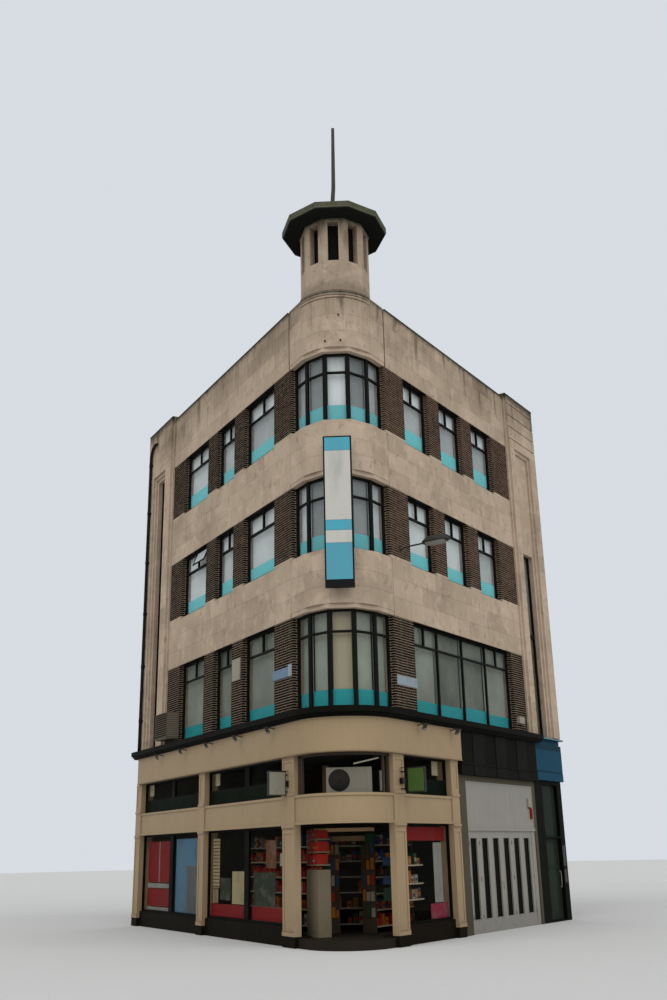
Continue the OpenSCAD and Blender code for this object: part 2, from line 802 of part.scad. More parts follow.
// One sheet of glass behind each frame
module upper_glass() {
    color("lightblue", 0.5) {
        for (i = [0:2]) {
            left_side() for (w = left_windows) glass_sheet([w[0], w[0] + w[1]], storeys[i]);
            right_side() for (w = i == 0 ? right_wide : right_windows)
                glass_sheet([w[0], w[0] + w[1]], storeys[i]);
        }
        left_side() glass_sheet(left_slot, [first_sill_z, left_stair_head_z]);
        right_side() glass_sheet(right_slot, [first_sill_z, right_stair_head_z]);
    }
}

module glass_sheet(s, z) {
    block(seated(s), [frame_back + seat_gap, frame_back + seat_gap + glass_t], seated(z));
}

module corner_glass() {
    color("lightblue", 0.5) for (z = storeys)
        raised(seated(z)) facet_ring(frame_back + seat_gap, frame_back + seat_gap + glass_t);
}

// A tall frame with a transom at each floor
module stair_frame(slot, head_z) {
    difference() {
        block(seated(slot), [window_recess, frame_back], seated([first_sill_z, head_z]));
        for (z = [[first_sill_z, second_floor_z], [second_floor_z, third_floor_z], [third_floor_z, head_z]])
            if (z[0] < head_z) block([slot[0] + frame_w, slot[1] - frame_w],
                [window_recess - eps, frame_back + eps],
                [z[0] + frame_w, min(z[1], head_z) - frame_w]);
    }
}

module stair_windows() {
    color("black") {
        left_side() stair_frame(left_slot, left_stair_head_z);
        right_side() stair_frame(right_slot, right_stair_head_z);
    }
}

// The plain ten-sided drum under the slots, on a solid base behind the curved parapet
module lantern_drum() {
    color("tan") {
        raised([roof_z + seat_gap, parapet_z + drum_floor_t]) intersection() {
            circle(r = lantern_r, $fn = 10);
            room_plan();
        }
        translate([0, 0, parapet_z + seat_gap]) lantern_tube(slot_sill_h - seat_gap);
    }
}

module lantern_tube(h) {
    difference() {
        cylinder(r = lantern_r, h = h, $fn = 10);
        translate([0, 0, -eps])
            cylinder(r = lantern_r - lantern_t / lantern_flat, h = h + 2 * eps, $fn = 10);
    }
}

// Ten posts, each wrapped round a corner of the lantern between two slots, and
// the ring beam that they carry
module lantern_posts() {
    posts_h = lantern_h - slot_sill_h - seat_gap;
    color("tan") translate([0, 0, parapet_z + slot_sill_h + seat_gap]) {
        difference() {
            lantern_tube(posts_h);
            for (i = [0:9]) rotate(18 + 36 * i)
                translate([lantern_r * lantern_flat - 1.5 * lantern_t, -slot_w / 2, -eps])
                    cube([2 * lantern_t, slot_w, posts_h - ring_h]);
        }
        translate([0, 0, posts_h - ring_h]) difference() {
            cylinder(r = lantern_r + ring_ledge_out, h = ring_ledge_h, $fn = 10);
            translate([0, 0, -eps])
                cylinder(r = lantern_r - 10 * eps, h = ring_ledge_h + 2 * eps, $fn = 10);
        }
    }
}

// The broad flat cap, with a lip under its edge and a top that falls to all sides
module lantern_cap() {
    edge_h = cap_t - cap_lip_t - cap_fall;
    color("darkslategray") translate([0, 0, cap_z + seat_gap]) {
        cylinder(r = cap_r - cap_lip_in, h = cap_lip_t + eps, $fn = 10);
        translate([0, 0, cap_lip_t]) cylinder(r = cap_r, h = edge_h, $fn = 10);
        translate([0, 0, cap_lip_t + edge_h])
            cylinder(r1 = cap_r, r2 = mast_foot_r, h = cap_fall, $fn = 10);
    }
}

module mast() {
    color("dimgray") translate([0, 0, cap_z + cap_t + 2 * seat_gap]) {
        cylinder(r = mast_foot_r - eps, h = mast_foot_h, $fn = 24);
        cylinder(r1 = mast_r, r2 = mast_r * 0.75, h = mast_h, $fn = 24);
    }
}

// The dark weathered ledge over the fascias, with two steps under its edge
module shop_ledge() {
    color("black") for (i = [0:2]) {
        top = i < 2 ? ledge_z + (i + 1) * ledge_step_h : first_sill_z - seat_gap;
        raised([ledge_z + i * ledge_step_h, top])
            round_strip((2 - i) * ledge_step_d - ledge_out, 0, left_len, ledge_end_s);
    }
}

module shop_fascia() {
    color("wheat") raised([fascia_z, ledge_z - seat_gap])
        round_strip(-fascia_out, 0, left_len - fascia_end_gap, fascia_end_s);
}

// A moulded panel between two pilasters
module fascia_run(s) {
    block(seated(s), [-mid_out, shop_recess], [mid_fascia_z, mid_top_z]);
    for (z = [mid_fascia_z, mid_top_z - moulding_h])
        block(seated(s), [-mid_out - moulding_out, eps - mid_out], [z, z + moulding_h]);
}

module lower_fascia() {
    left_in = left_corner_s - seat_gap;
    right_in = right_corner_s - seat_gap;
    color("wheat") {
        left_side() for (s = left_bays) fascia_run(s);
        right_side() for (s = right_bays) fascia_run(s);
        raised([mid_fascia_z, mid_top_z]) round_strip(-mid_out, shop_recess, left_in, right_in);
        for (z = [mid_fascia_z, mid_top_z - moulding_h]) raised([z, z + moulding_h])
            round_strip(-mid_out - moulding_out, 0, left_in, right_in);
    }
}

// A pilaster with a cap moulding at each edge of the lower fascia
module pilaster(s, w, depth) {
    channels = [[block_h, mid_fascia_z - moulding_h], [mid_top_z + moulding_h, fascia_z]];
    difference() {
        block([s, s + w], [-pilaster_out, depth], seated([block_h, fascia_z]));
        for (z = channels)
            block([s + pilaster_strip_w, s + w - pilaster_strip_w],
                [-pilaster_out - eps, pilaster_channel_d - pilaster_out],
                [z[0] + pilaster_foot_h, z[1] - pilaster_foot_h]);
    }
    for (z = [mid_fascia_z - moulding_h, mid_top_z])
        block([s, s + w], [-pilaster_out - moulding_out, 0], [z, z + moulding_h]);
}

module pilasters() {
    color("wheat") {
        left_side() {
            pilaster(left_corner_s, left_corner_w, corner_post_d);
            pilaster(left_mid_s, left_mid_w, front_t);
            pilaster(left_len - left_end_w, left_end_w, front_t);
        }
        right_side() {
            pilaster(right_corner_s, right_corner_w, corner_post_d);
            pilaster(right_mid_s - right_mid_w, right_mid_w, front_t);
        }
    }
}

// The dark stall riser under the shop windows, with a block under each pilaster
module plinth() {
    blocks = [-block_out, front_t];
    color("black") {
        left_side() {
            for (b = left_bays) block(b, [0, front_t], [0, riser_h]);
            block([left_corner_s, left_bays[0][0]], blocks, [0, block_h]);
            block([left_bays[0][1], left_bays[1][0]], blocks, [0, block_h]);
            block([left_bays[1][1], left_len], blocks, [0, block_h]);
        }
        right_side() {
            for (b = right_bays) block(b, [0, front_t], [0, riser_h]);
            block([right_corner_s, right_bays[0][0]], blocks, [0, block_h]);
            block([right_bays[0][1], right_mid_s], blocks, [0, block_h]);
        }
    }
}

// Dark panels across the lower part of the top lights
module top_light_panels() {
    depth = [shop_recess + seat_gap, front_t];
    z = [mid_fascia_z, mid_top_z + top_panel_h];
    color("darkgreen") {
        left_side() for (b = left_bays) block(seated(b), depth, z);
        right_side() for (b = right_bays) block(seated(b), depth, z);
    }
}

// The box of the roller shutter, behind the lower fascia at the entrance
module shutter_box() {
    color("dimgray") raised([mid_fascia_z, mid_top_z])
        round_strip(shop_recess + seat_gap, shop_recess + shutter_box_d,
            left_corner_s - seat_gap, right_corner_s - seat_gap);
}

// A frame round a shop window, with a broad post where it has two panes
module shop_frame(s, z, posts) {
    edges = concat([s[0]], posts, [s[1]]);
    last = len(edges) - 2;
    difference() {
        block(seated(s), [shop_recess, shop_frame_back], seated(z));
        for (i = [0:last])
            block([edges[i] + (i == 0 ? frame_w : shop_post_w / 2),
                edges[i + 1] - (i == last ? frame_w : shop_post_w / 2)],
                [shop_recess - eps, shop_frame_back + eps],
                [z[0] + frame_w, z[1] - frame_w]);
    }
}

module shop_window_frames() {
    color("black") for (z = shop_window_z) {
        left_side() {
            shop_frame(left_bays[0], z, [left_post_near_s]);
            shop_frame(left_bays[1], z, [left_post_far_s]);
        }
        right_side() shop_frame(right_bays[0], z, []);
    }
}

module shop_glass() {
    depth = [shop_frame_back + seat_gap, shop_frame_back + glass_t];
    color("lightblue", 0.5) for (z = shop_window_z) {
        left_side() for (b = left_bays) block(seated(b), depth, seated(z));
        right_side() for (b = right_bays) block(seated(b), depth, seated(z));
    }
}

// Boards fixed on the inside of the shop windows
module poster_panels() {
    y0 = shop_frame_back + glass_t + seat_gap;
    depth = [y0, y0 + board_t];
    sill = riser_h + frame_w;
    post_half = shop_post_w / 2;
    near = left_bays[0];
    far = left_bays[1];
    right = right_bays[0];
    color("firebrick") {
        left_side() {
            block([far[0] + board_side_gap, left_post_far_s - post_half], depth, [sill, board_top_z]);
            block([left_post_far_s + post_half, far[1] - board_side_gap], depth, [sill, board_top_z]);
            block([near[0] + frame_w, left_post_near_s - post_half], depth, [sill, strip_top_z]);
            block([left_post_near_s + post_half, near[1] - frame_w], depth, [sill, strip_top_z]);
        }
        right_side() {
            block([right[0] + frame_w, right[1] - frame_w], depth,
                [mid_fascia_z - frame_w - long_board_h, mid_fascia_z - frame_w]);
            block([right[1] - low_board_w, right[1] - frame_w], depth, [sill, strip_top_z]);
        }
    }
}

// The charcoal fascia over the white doors, in upright boards
module charcoal_fascia() {
    board_w = (blue_s - fascia_end_s) / charcoal_boards;
    color("darkslategray") right_side() difference() {
        block(seated([fascia_end_s, blue_s]), [-charcoal_out, -seat_gap],
            [charcoal_z, ledge_z - seat_gap]);
        for (i = [1:charcoal_boards - 1])
            block([fascia_end_s + i * board_w - groove_w / 2, fascia_end_s + i * board_w + groove_w / 2],
                [-charcoal_out - eps, groove_w - charcoal_out], [charcoal_z - eps, ledge_z]);
    }
}

// The blue panel at the end of the right front, with a flashing over it
module blue_panel() {
    flashing_z = first_sill_z - 2 * flashing_t;
    color("steelblue") right_side() {
        block([blue_s, right_len], [-blue_out, -seat_gap], [blue_z, ledge_z - seat_gap]);
        over = [ledge_end_s + seat_gap, right_len];
        block(over, [-blue_out / 2, -seat_gap], [blue_z, first_sill_z - seat_gap]);
        block(over, [-flashing_out, -seat_gap],
            [flashing_z, flashing_z + flashing_t]);
    }
}

// The grey surround of the white doors and of the board over them
module doors_surround() {
    color("gray") right_side() difference() {
        block(seated([right_mid_s, doors_end + far_post_w]), [0, front_t], [0, fascia_z - seat_gap]);
        block([doors_s, doors_end], [-eps, front_t + eps], [-eps, white_top_z]);
    }
}

module white_board() {
    color("whitesmoke") right_side() block(seated([doors_s, doors_end]),
        [white_recess, white_recess + white_t], seated([doors_h, white_top_z]));
}

// White doors with tall narrow panes, thinner than their rails
module folding_doors() {
    pitch = (doors_end - doors_s - pane_near - pane_far - pane_w) / (pane_count - 1);
    color("whitesmoke") right_side() difference() {
        block(seated([doors_s, doors_end]), [doors_recess, doors_recess + doors_t], [0, doors_h]);
        for (i = [0:pane_count - 1])
            block([doors_s + pane_near + i * pitch, doors_s + pane_near + i * pitch + pane_w],
                [doors_recess - eps, doors_recess + doors_t - pane_t],
                [pane_foot_z, doors_h - pane_rail_h]);
    }
}

// The dark surround of the street door, with a fan light over the door
module street_door_frame() {
    inner = [street_door_s, street_door_s + street_door_w];
    color("black") right_side() {
        difference() {
            block([street_door_s - street_post_w, right_len], [0, front_t], [0, fascia_z - seat_gap]);
            block(inner, [-eps, front_t + eps], [threshold_t, street_door_h + door_gap]);
            block(inner, [-eps, front_t + eps], [street_door_h + door_gap + transom_h, fan_head_z]);
            for (z = hinge_heights)
                block([hinge_s - knuckle_room, inner[0] + eps],
                    [hinge_y - knuckle_room, hinge_y + knuckle_room],
                    [z - knuckle_h / 2 - seat_gap, z + knuckle_h / 2 + seat_gap]);
        }
        block([inner[0] - eps, inner[1] + eps], [street_recess, street_recess + pane_t],
            [street_door_h + door_gap + eps, fan_head_z + eps]);
        for (z = hinge_heights) {
            knuckle(z - knuckle_h - seat_gap);
            knuckle(z + knuckle_h + seat_gap);
        }
    }
}

// One barrel of a hinge, with its middle at height z
module knuckle(z) {
    translate([hinge_s, hinge_y, z - knuckle_h / 2]) cylinder(r = hinge_r, h = knuckle_h, $fn = 24);
}

// The glazed street door, with a rail across its middle
module street_door() {
    leaf = [street_door_s + door_gap, street_door_s + street_door_w - door_gap];
    inner_y = street_recess + street_door_t;
    pane_y = street_recess + (street_door_t - pane_t) / 2;
    foot_z = threshold_t + door_gap;
    lights = [
        [foot_z + kick_h, mid_rail_z - mid_rail_h / 2],
        [mid_rail_z + mid_rail_h / 2, street_door_h - stile_w]
    ];
    color("dimgray") right_side() {
        difference() {
            block(leaf, [street_recess, inner_y], [foot_z, street_door_h]);
            for (z = lights, y = [[street_recess - eps, pane_y], [pane_y + pane_t, inner_y + eps]])
                block([leaf[0] + stile_w, leaf[1] - stile_w], y, z);
        }
        for (z = hinge_heights) {
            knuckle(z);
            block([hinge_s, leaf[0] + hinge_plate_w], [inner_y - eps, inner_y + hinge_plate_t],
                [z - knuckle_h / 2, z + knuckle_h / 2]);
        }
    }
}

// The upright sign box on the corner, on two pairs of brackets
module corner_sign() {
    back = -corner_r - sign_gap;
    bracket_x = sign_w * 0.3;
    wall_y = -sqrt(pow(corner_r, 2) - pow(bracket_x - sign_bracket / 2, 2)) - seat_gap;
    color("lightskyblue") {
        difference() {
            translate([-sign_w / 2, back - sign_d, sign_z]) cube([sign_w, sign_d, sign_h]);
            translate([sign_rim - sign_w / 2, back - sign_d - eps, sign_z + sign_foot_h])
                cube([sign_w - 2 * sign_rim, sign_panel_in + eps, sign_h - sign_foot_h - sign_rim]);
        }
        for (x = [-bracket_x, bracket_x], z = [sign_bracket_end, sign_h - sign_bracket_end - sign_bracket])
            translate([x - sign_bracket / 2, back - eps, sign_z + z])
                cube([sign_bracket, wall_y - back + eps, sign_bracket]);
    }
}

// A small blank sign that stands out square from a corner pilaster
module hanging_sign(s, w, gap) {
    out = -pilaster_out - gap;
    middle_z = hang_z + hang_h / 2;
    block([s - hang_t / 2, s + hang_t / 2], [out - w, out], [hang_z, hang_z + hang_h]);
    block([s - hang_t / 4, s + hang_t / 4], [out - eps, -pilaster_out - seat_gap],
        [middle_z - hang_bracket_h / 2, middle_z + hang_bracket_h / 2]);
}

module hanging_signs() {
    color("white") {
        left_side() hanging_sign(left_corner_s + left_corner_w - left_hang_edge, left_hang_w,
            left_hang_gap);
        right_side() hanging_sign(right_corner_s + right_corner_w - right_hang_edge, right_hang_w,
            right_hang_gap);
    }
}

// Shelving between two upright ends, which shows through the entrance and the windows
module shelf_stack(s, y) {
    foot_z = shop_floor_t + seat_gap;
    pitch = (shelf_h - low_shelf_h - shelf_t) / (shelf_count - 1);
    for (end_s = [s[0], s[1] - shelf_t])
        block([end_s, end_s + shelf_t], y, [foot_z, foot_z + shelf_h]);
    for (i = [0:shelf_count - 1])
        block([s[0] + eps, s[1] - eps], y,
            [foot_z + low_shelf_h + i * pitch, foot_z + low_shelf_h + i * pitch + shelf_t]);
}

module shop_shelves() {
    depth = [shelf_back, shelf_back + shelf_d];
    color("burlywood") {
        left_side() shelf_stack([shelf_start_s, left_mid_s - shelf_end_gap], depth);
        right_side() shelf_stack([shelf_start_s, right_mid_s - shelf_end_gap], depth);
        translate([-0.6 * mid_shelf_w, mid_shelf_y, 0]) shelf_stack([0, mid_shelf_w], [0, shelf_d]);
    }
}

// The cooling unit on the shutter box, behind the top light over the entrance
module cooling_unit() {
    color("lightgray") translate([-0.42 * unit_w, -unit_y, mid_top_z + seat_gap])
        cube([unit_w, unit_d, unit_h]);
}

// Floodlights in front of the big fascia and the lamp on its arm
module wall_lamps() {
    color("dimgray") {
        left_side() floodlights(bay_inner_left - left_flood_end, left_flood_count);
        right_side() {
            floodlights(right_mid_s - right_flood_end, right_flood_count);
            arm_lamp();
        }
    }
}

// A row of floodlights along a front, on short arms under the ledge
module floodlights(last_s, count) {
    for (i = [0:count - 1]) {
        s = flood_first_s + i * (last_s - flood_first_s) / (count - 1);
        end_y = -fascia_out - flood_arm;
        arm_z = ledge_z - flood_drop;
        sides = [s - flood_w / 2, s + flood_w / 2];
        block([s - flood_bar / 2, s + flood_bar / 2], [end_y, -fascia_out - seat_gap],
            [arm_z, arm_z + flood_bar]);
        hull() {
            block(sides, [end_y - flood_bar, end_y], [arm_z, arm_z + flood_bar]);
            block(sides, [end_y - flood_bar, end_y + 2 * flood_bar],
                [arm_z - flood_h, arm_z - flood_h + flood_bar / 2]);
        }
    }
}

// A street lamp on an arm square to the right front
module arm_lamp() {
    plate = 60;
    arm_end = -plate / 2 - lamp_arm;
    block([lamp_s - plate / 2, lamp_s + plate / 2], [-plate / 2, -seat_gap],
        [lamp_z - 2 * plate, lamp_z + plate]);
    translate([lamp_s, -plate / 3, lamp_z]) rotate([90, 0, 0])
        cylinder(r = lamp_arm_r, h = lamp_arm, $fn = 16);
    hull() {
        translate([lamp_s, arm_end + 2 * plate, lamp_z - lamp_head_h / 2])
            cylinder(r = plate / 2, h = lamp_head_h, $fn = 24);
        translate([lamp_s, arm_end - lamp_head + 2 * plate, lamp_z - lamp_head_h / 2])
            cylinder(r = 1.5 * plate, h = lamp_head_h, $fn = 24);
    }
}

// A rainwater pipe down the left end bay, with a swan neck up to its outlet
module rainwater_pipe() {
    s = left_len - pipe_end;
    y = -bay_out - pipe_r - pipe_stand;
    outlet_z = parapet_z - outlet_drop;
    neck = [
        [s, y, first_sill_z + pipe_r], [s, y, outlet_z - swan_w],
        [s - swan_w, y, outlet_z - swan_w / 4], [s - swan_w, -bay_out - seat_gap, outlet_z]
    ];
    color("black") left_side() {
        translate([s, y, first_sill_z]) cylinder(r = pipe_r, h = 2 * pipe_r, $fn = 24);
        for (i = [0:1]) hull() for (p = [neck[i], neck[i + 1]]) translate(p) sphere(r = pipe_r, $fn = 24);
        hull() {
            translate(neck[2]) sphere(r = pipe_r, $fn = 24);
            translate(neck[3]) rotate([90, 0, 0]) cylinder(r = pipe_r, h = pipe_stand, $fn = 24);
        }
        for (z = [first_floor_z + head_h, second_floor_z + head_h, top_head_z])
            block([s - pipe_clip_w / 2, s + pipe_clip_w / 2], [y, -bay_out - seat_gap], [z, z + pipe_r]);
    }
}

// A louvred vent box in front of the last pier of the left front
module vent_box() {
    end_s = bay_inner_left - vent_gap;
    foot_z = first_sill_z + vent_foot;
    slat_pitch = vent_h / (vent_slats + 1);
    color("saddlebrown") left_side() difference() {
        block([end_s - vent_w, end_s], [-vent_out, -seat_gap], [foot_z, foot_z + vent_h]);
        for (i = [1:vent_slats])
            block([end_s - vent_w + slat_pitch / 2, end_s - slat_pitch / 2],
                [-vent_out - eps, vent_slat_d - vent_out],
                [foot_z + i * slat_pitch - slat_pitch / 4, foot_z + i * slat_pitch + slat_pitch / 4]);
    }
}

shop_floor();
upper_floors();
roof_deck();
left_party_wall();
right_party_wall();
shop_beam();
stone_bands();
parapet();
brick_piers();
left_end_bay();
right_end_bay();
first_floor_windows();
upper_windows();
corner_windows();
upper_glass();
corner_glass();
stair_windows();
lantern_drum();
lantern_posts();
lantern_cap();
mast();
shop_ledge();
shop_fascia();
lower_fascia();
pilasters();
plinth();
top_light_panels();
shutter_box();
shop_window_frames();
shop_glass();
poster_panels();
charcoal_fascia();
blue_panel();
doors_surround();
white_board();
folding_doors();
street_door_frame();
street_door();
corner_sign();
hanging_signs();
shop_shelves();
cooling_unit();
wall_lamps();
rainwater_pipe();
vent_box();
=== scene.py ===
"""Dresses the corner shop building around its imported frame: brickwork, stone facing,
blinds and films behind the glass, painted shopfront, sign, lamps, pipe and weathering.
Everything is in metres, in the frame's own axes."""

import math

import bpy
import numpy as np
from bpy.props import FloatProperty, FloatVectorProperty, IntProperty, PointerProperty
from mathutils import Matrix, Vector


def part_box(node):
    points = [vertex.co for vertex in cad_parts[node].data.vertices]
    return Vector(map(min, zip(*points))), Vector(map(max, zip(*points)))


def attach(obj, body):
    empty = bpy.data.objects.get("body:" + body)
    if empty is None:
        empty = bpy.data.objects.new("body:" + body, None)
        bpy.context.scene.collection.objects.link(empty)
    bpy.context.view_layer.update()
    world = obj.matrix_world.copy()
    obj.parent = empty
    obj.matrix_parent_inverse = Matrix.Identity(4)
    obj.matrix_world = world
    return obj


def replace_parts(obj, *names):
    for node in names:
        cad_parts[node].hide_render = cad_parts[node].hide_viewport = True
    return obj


bl_info = {
    "name": "Corner Shop Building",
    "version": (1, 0, 0),
    "blender": (4, 5, 0),
    "location": "View3D > Sidebar > Building",
    "description": "Brick, stone, glazing and shopfront finishes for a corner shop building",
    "category": "Add Mesh",
}

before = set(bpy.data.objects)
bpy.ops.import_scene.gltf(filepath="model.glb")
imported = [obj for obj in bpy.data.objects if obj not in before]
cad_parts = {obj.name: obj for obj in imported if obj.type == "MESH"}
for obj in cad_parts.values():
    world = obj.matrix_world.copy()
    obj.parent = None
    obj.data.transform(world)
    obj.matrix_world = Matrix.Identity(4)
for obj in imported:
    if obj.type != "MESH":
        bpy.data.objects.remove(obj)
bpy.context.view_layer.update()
BODY, LEAF = "building", "door_leaf"
LEFT, RIGHT = -1, 1


# Settings that a user would change


def length(name, description, default):
    """A length in metres, shown with its unit."""
    return FloatProperty(name=name, description=description, default=default, min=0.0, unit="LENGTH")


def colour(name, description, default):
    """A linear colour."""
    return FloatVectorProperty(
        name=name, description=description, default=default, size=3, min=0.0, max=1.0, subtype="COLOR"
    )


class PlanSettings(bpy.types.PropertyGroup):
    """Plan and levels of the building, as its frame has them."""

    corner_angle: FloatProperty(
        name="Corner angle", description="Angle between the fronts", default=math.radians(65.28), subtype="ANGLE"
    )
    corner_radius: length("Corner radius", "Radius of the curved corner", 1.10)
    left_length: length("Left front", "Length of the left front", 13.10)
    right_length: length("Right front", "Length of the right front", 11.86)
    left_bay: length("Left bay", "Width of the left end bay", 2.24)
    right_bay: length("Right bay", "Width of the right end bay", 2.08)
    bay_out: length("Bay projection", "How far the end bays stand out", 0.12)
    bay_step: length("Bay step", "Width of the steps on the end bays", 0.105)
    wall: length("Wall", "Thickness of the front walls", 0.33)
    first_sill: length("First sill", "Height of the first-floor sills", 5.26)
    first_head: length("First head", "Height of the first-floor heads", 7.645)
    storey: length("Storey", "Height from one upper floor to the next", 3.465)
    window_height: length("Window height", "Height of the upper windows", 1.96)
    parapet: length("Parapet", "Height of the top of the parapet", 16.385)
    bow: length("Corner window", "Distance along each front to the side of the corner window", 2.345)
    recess: length("Recess", "Depth of the window frames behind the wall face", 0.14)
    frame_depth: length("Frame depth", "Depth of the window frames", 0.06)


class BrickSettings(bpy.types.PropertyGroup):
    """Bricks and their bond."""

    course: length("Course", "Height of one course with its joint", 0.0655)
    brick_length: length("Brick length", "Length of a brick", 0.215)
    brick_width: length("Brick width", "Width of a brick", 0.1025)
    joint: length("Joint", "Width of a mortar joint", 0.015)
    proud: length("Proud", "How far the bricks stand out from their mortar", 0.004)
    foot: length("Foot", "Height of the stone under each pier", 0.075)
    dark: colour("Dark brick", "Colour of the darkest bricks", (0.0065, 0.0045, 0.0035))
    red: colour("Red brick", "Colour of the reddest bricks", (0.060, 0.029, 0.019))
    mortar: colour("Mortar", "Colour of the mortar", (0.36, 0.285, 0.205))


class StoneSettings(bpy.types.PropertyGroup):
    """Stone facing of the bands, parapet and end bays."""

    course: length("Course", "Usual height of a course of stones", 0.50)
    stone_length: length("Stone length", "Usual length of a stone", 1.15)
    joint: length("Joint", "Width of a joint between stones", 0.003)
    proud: length("Thickness", "How far the stones stand out from the wall", 0.010)
    chamfer: length("Edge", "Width of the worn edge round a stone", 0.002)
    groove: length("Groove", "Width of the upright joints beside the corner window", 0.055)
    light: colour("Light stone", "Colour of clean stone", (0.490, 0.386, 0.290))
    dark: colour("Dark stone", "Colour of stained stone", (0.20, 0.152, 0.105))


class GlazingSettings(bpy.types.PropertyGroup):
    """Blinds and films behind the windows."""

    film: length("Film", "Height of the coloured film at the foot of a window", 0.42)
    pleat: length("Pleat", "Width of one pleat of a blind", 0.09)
    pleat_depth: length("Pleat depth", "Depth of the pleats", 0.012)
    blind: colour("Blind", "Colour of the blinds", (0.66, 0.66, 0.60))
    film_colour: colour("Film colour", "Colour of the film", (0.020, 0.40, 0.43))


class ShopSettings(bpy.types.PropertyGroup):
    """Paint and goods of the shopfront."""

    # The cream and the white are set darker than the paints are: partly their own colour, partly painted shade from
    # the ledge and the narrow street
    cream: colour("Cream", "Paint of the shopfront", (0.345, 0.252, 0.150))
    charcoal: colour("Charcoal", "Paint of the dark fascia", (0.0090, 0.0092, 0.0072))
    blue: colour("Blue", "Paint of the blue panel", (0.006, 0.056, 0.096))
    white: colour("White", "Paint of the white doors", (0.275, 0.260, 0.230))
    packs: IntProperty(name="Packs", description="Packs on each metre of shelf", default=7, min=1, max=20)


# Plan of the fronts


class Plan:
    """The two fronts and the corner as one strip. A place on it is (u, y, z): u runs
    along the wall face from the middle of the corner, negative to the left, y goes
    into the wall and z up. On the corner u is an arc length."""

    def __init__(self, settings):
        self.set = settings
        self.half, self.radius = settings.corner_angle / 2, settings.corner_radius
        self.vertex = self.radius / math.sin(self.half)
        self.tangent = self.radius / math.tan(self.half)
        self.arc = self.radius * (math.pi / 2 - self.half)
        self.ends = {LEFT: settings.left_length, RIGHT: settings.right_length}
        self.bays = {LEFT: self.ends[LEFT] - settings.left_bay, RIGHT: self.ends[RIGHT] - settings.right_bay}
        heads = [settings.first_head + i * settings.storey for i in range(3)]
        self.storeys = [(settings.first_sill, heads[0])] + [(z - settings.window_height, z) for z in heads[1:]]
        left = self.row(LEFT, 3.36, 0.97, 0.70, (0, 1.27, 0))
        upper, first = self.row(RIGHT, 3.34, 1.08, 0.655, (0, 0, 0)), self.row(RIGHT, 3.34, 0.78, 0, (0,))
        self.windows = [{LEFT: left, RIGHT: right} for right in (first, upper, upper)]

    def row(self, side, first, last, pier, widths):
        """The windows of a front as (start, end): they start at first and end a pier of
        the width last before the bay. Those without a width share what is left."""
        free = self.bays[side] - last - first - pier * (len(widths) - 1) - sum(widths)
        row = []
        for width in widths:
            width = width or free / widths.count(0)
            row.append((first, first + width))
            first += width + pier
        return row

    def piers(self, level):
        """The piers of a storey as (side, start, end)."""
        for side in (LEFT, RIGHT):
            ends = [self.set.bow, *(s for window in self.windows[level][side] for s in window), self.bays[side]]
            yield from ((side, *pair) for pair in zip(ends[::2], ends[1::2]))

    def u(self, side, s):
        """The place on the strip that is s along a front from where the fronts would meet."""
        return side * (s - self.tangent + self.arc)

    def span(self, side, s0, s1):
        """Two places along a front, the lower u first."""
        return tuple(sorted((self.u(side, s0), self.u(side, s1))))

    def place(self, spots):
        """Turns (u, y, z) into model coordinates: on the corner the angle is u over
        the radius, and beyond it the wall runs straight on along each front."""
        u, y, z = np.asarray(spots, float).reshape(-1, 3).T
        side, turn = np.where(u < 0, -1.0, 1.0), u / self.radius
        s = np.abs(u) - self.arc + self.tangent
        sine, cosine = math.sin(self.half), math.cos(self.half)
        on_arc = np.abs(u) <= self.arc
        x = np.where(on_arc, (self.radius - y) * np.sin(turn), side * (s * sine - y * cosine))
        depth = np.where(on_arc, -(self.radius - y) * np.cos(turn), s * cosine + y * sine - self.vertex)
        return np.stack([x, depth, z], axis=1)

    def facets(self, y):
        """Plan corners of the five-sided corner window, y behind its face: each corner
        is where two facet lines meet."""
        turn = (math.pi - 2 * self.half) / 3
        angles = [math.pi + self.half, *(1.5 * math.pi + i * turn for i in (-1, 0, 1)), 2 * math.pi - self.half]
        reach = [self.radius - y, *[self.radius * math.cos(turn / 2) - y] * 3, self.radius - y]
        ends = [self.place([[self.u(side, self.set.bow), y, 0]])[0][:2] for side in (LEFT, RIGHT)]
        lines = np.stack([np.cos(angles), np.sin(angles)], 1)
        corners = [np.linalg.solve(lines[i:i + 2], reach[i:i + 2]) for i in range(4)]
        return np.array([ends[0], *corners, ends[1]])


def plan():
    """The plan by the scene's settings."""
    return Plan(bpy.context.scene.shop_plan)


# Shapes as arrays of points and faces

UNIT_BOX = np.array([[i, j, k] for i in (0, 1) for j in (0, 1) for k in (0, 1)], float)
BOX_FACES = np.array([[0, 1, 3, 2], [4, 6, 7, 5], [0, 4, 5, 1], [2, 3, 7, 6], [0, 2, 6, 4], [1, 5, 7, 3]])
CORNER_PITCH = 0.08


def circle(sides):
    """Angles of equal steps round a circle."""
    return np.linspace(0, 2 * math.pi, sides, endpoint=False)


def xyz(x, y, z):
    """Points from three coordinates, each a number or an array, spread to one shape."""
    return np.stack(np.broadcast_arrays(x, y, z), axis=-1)


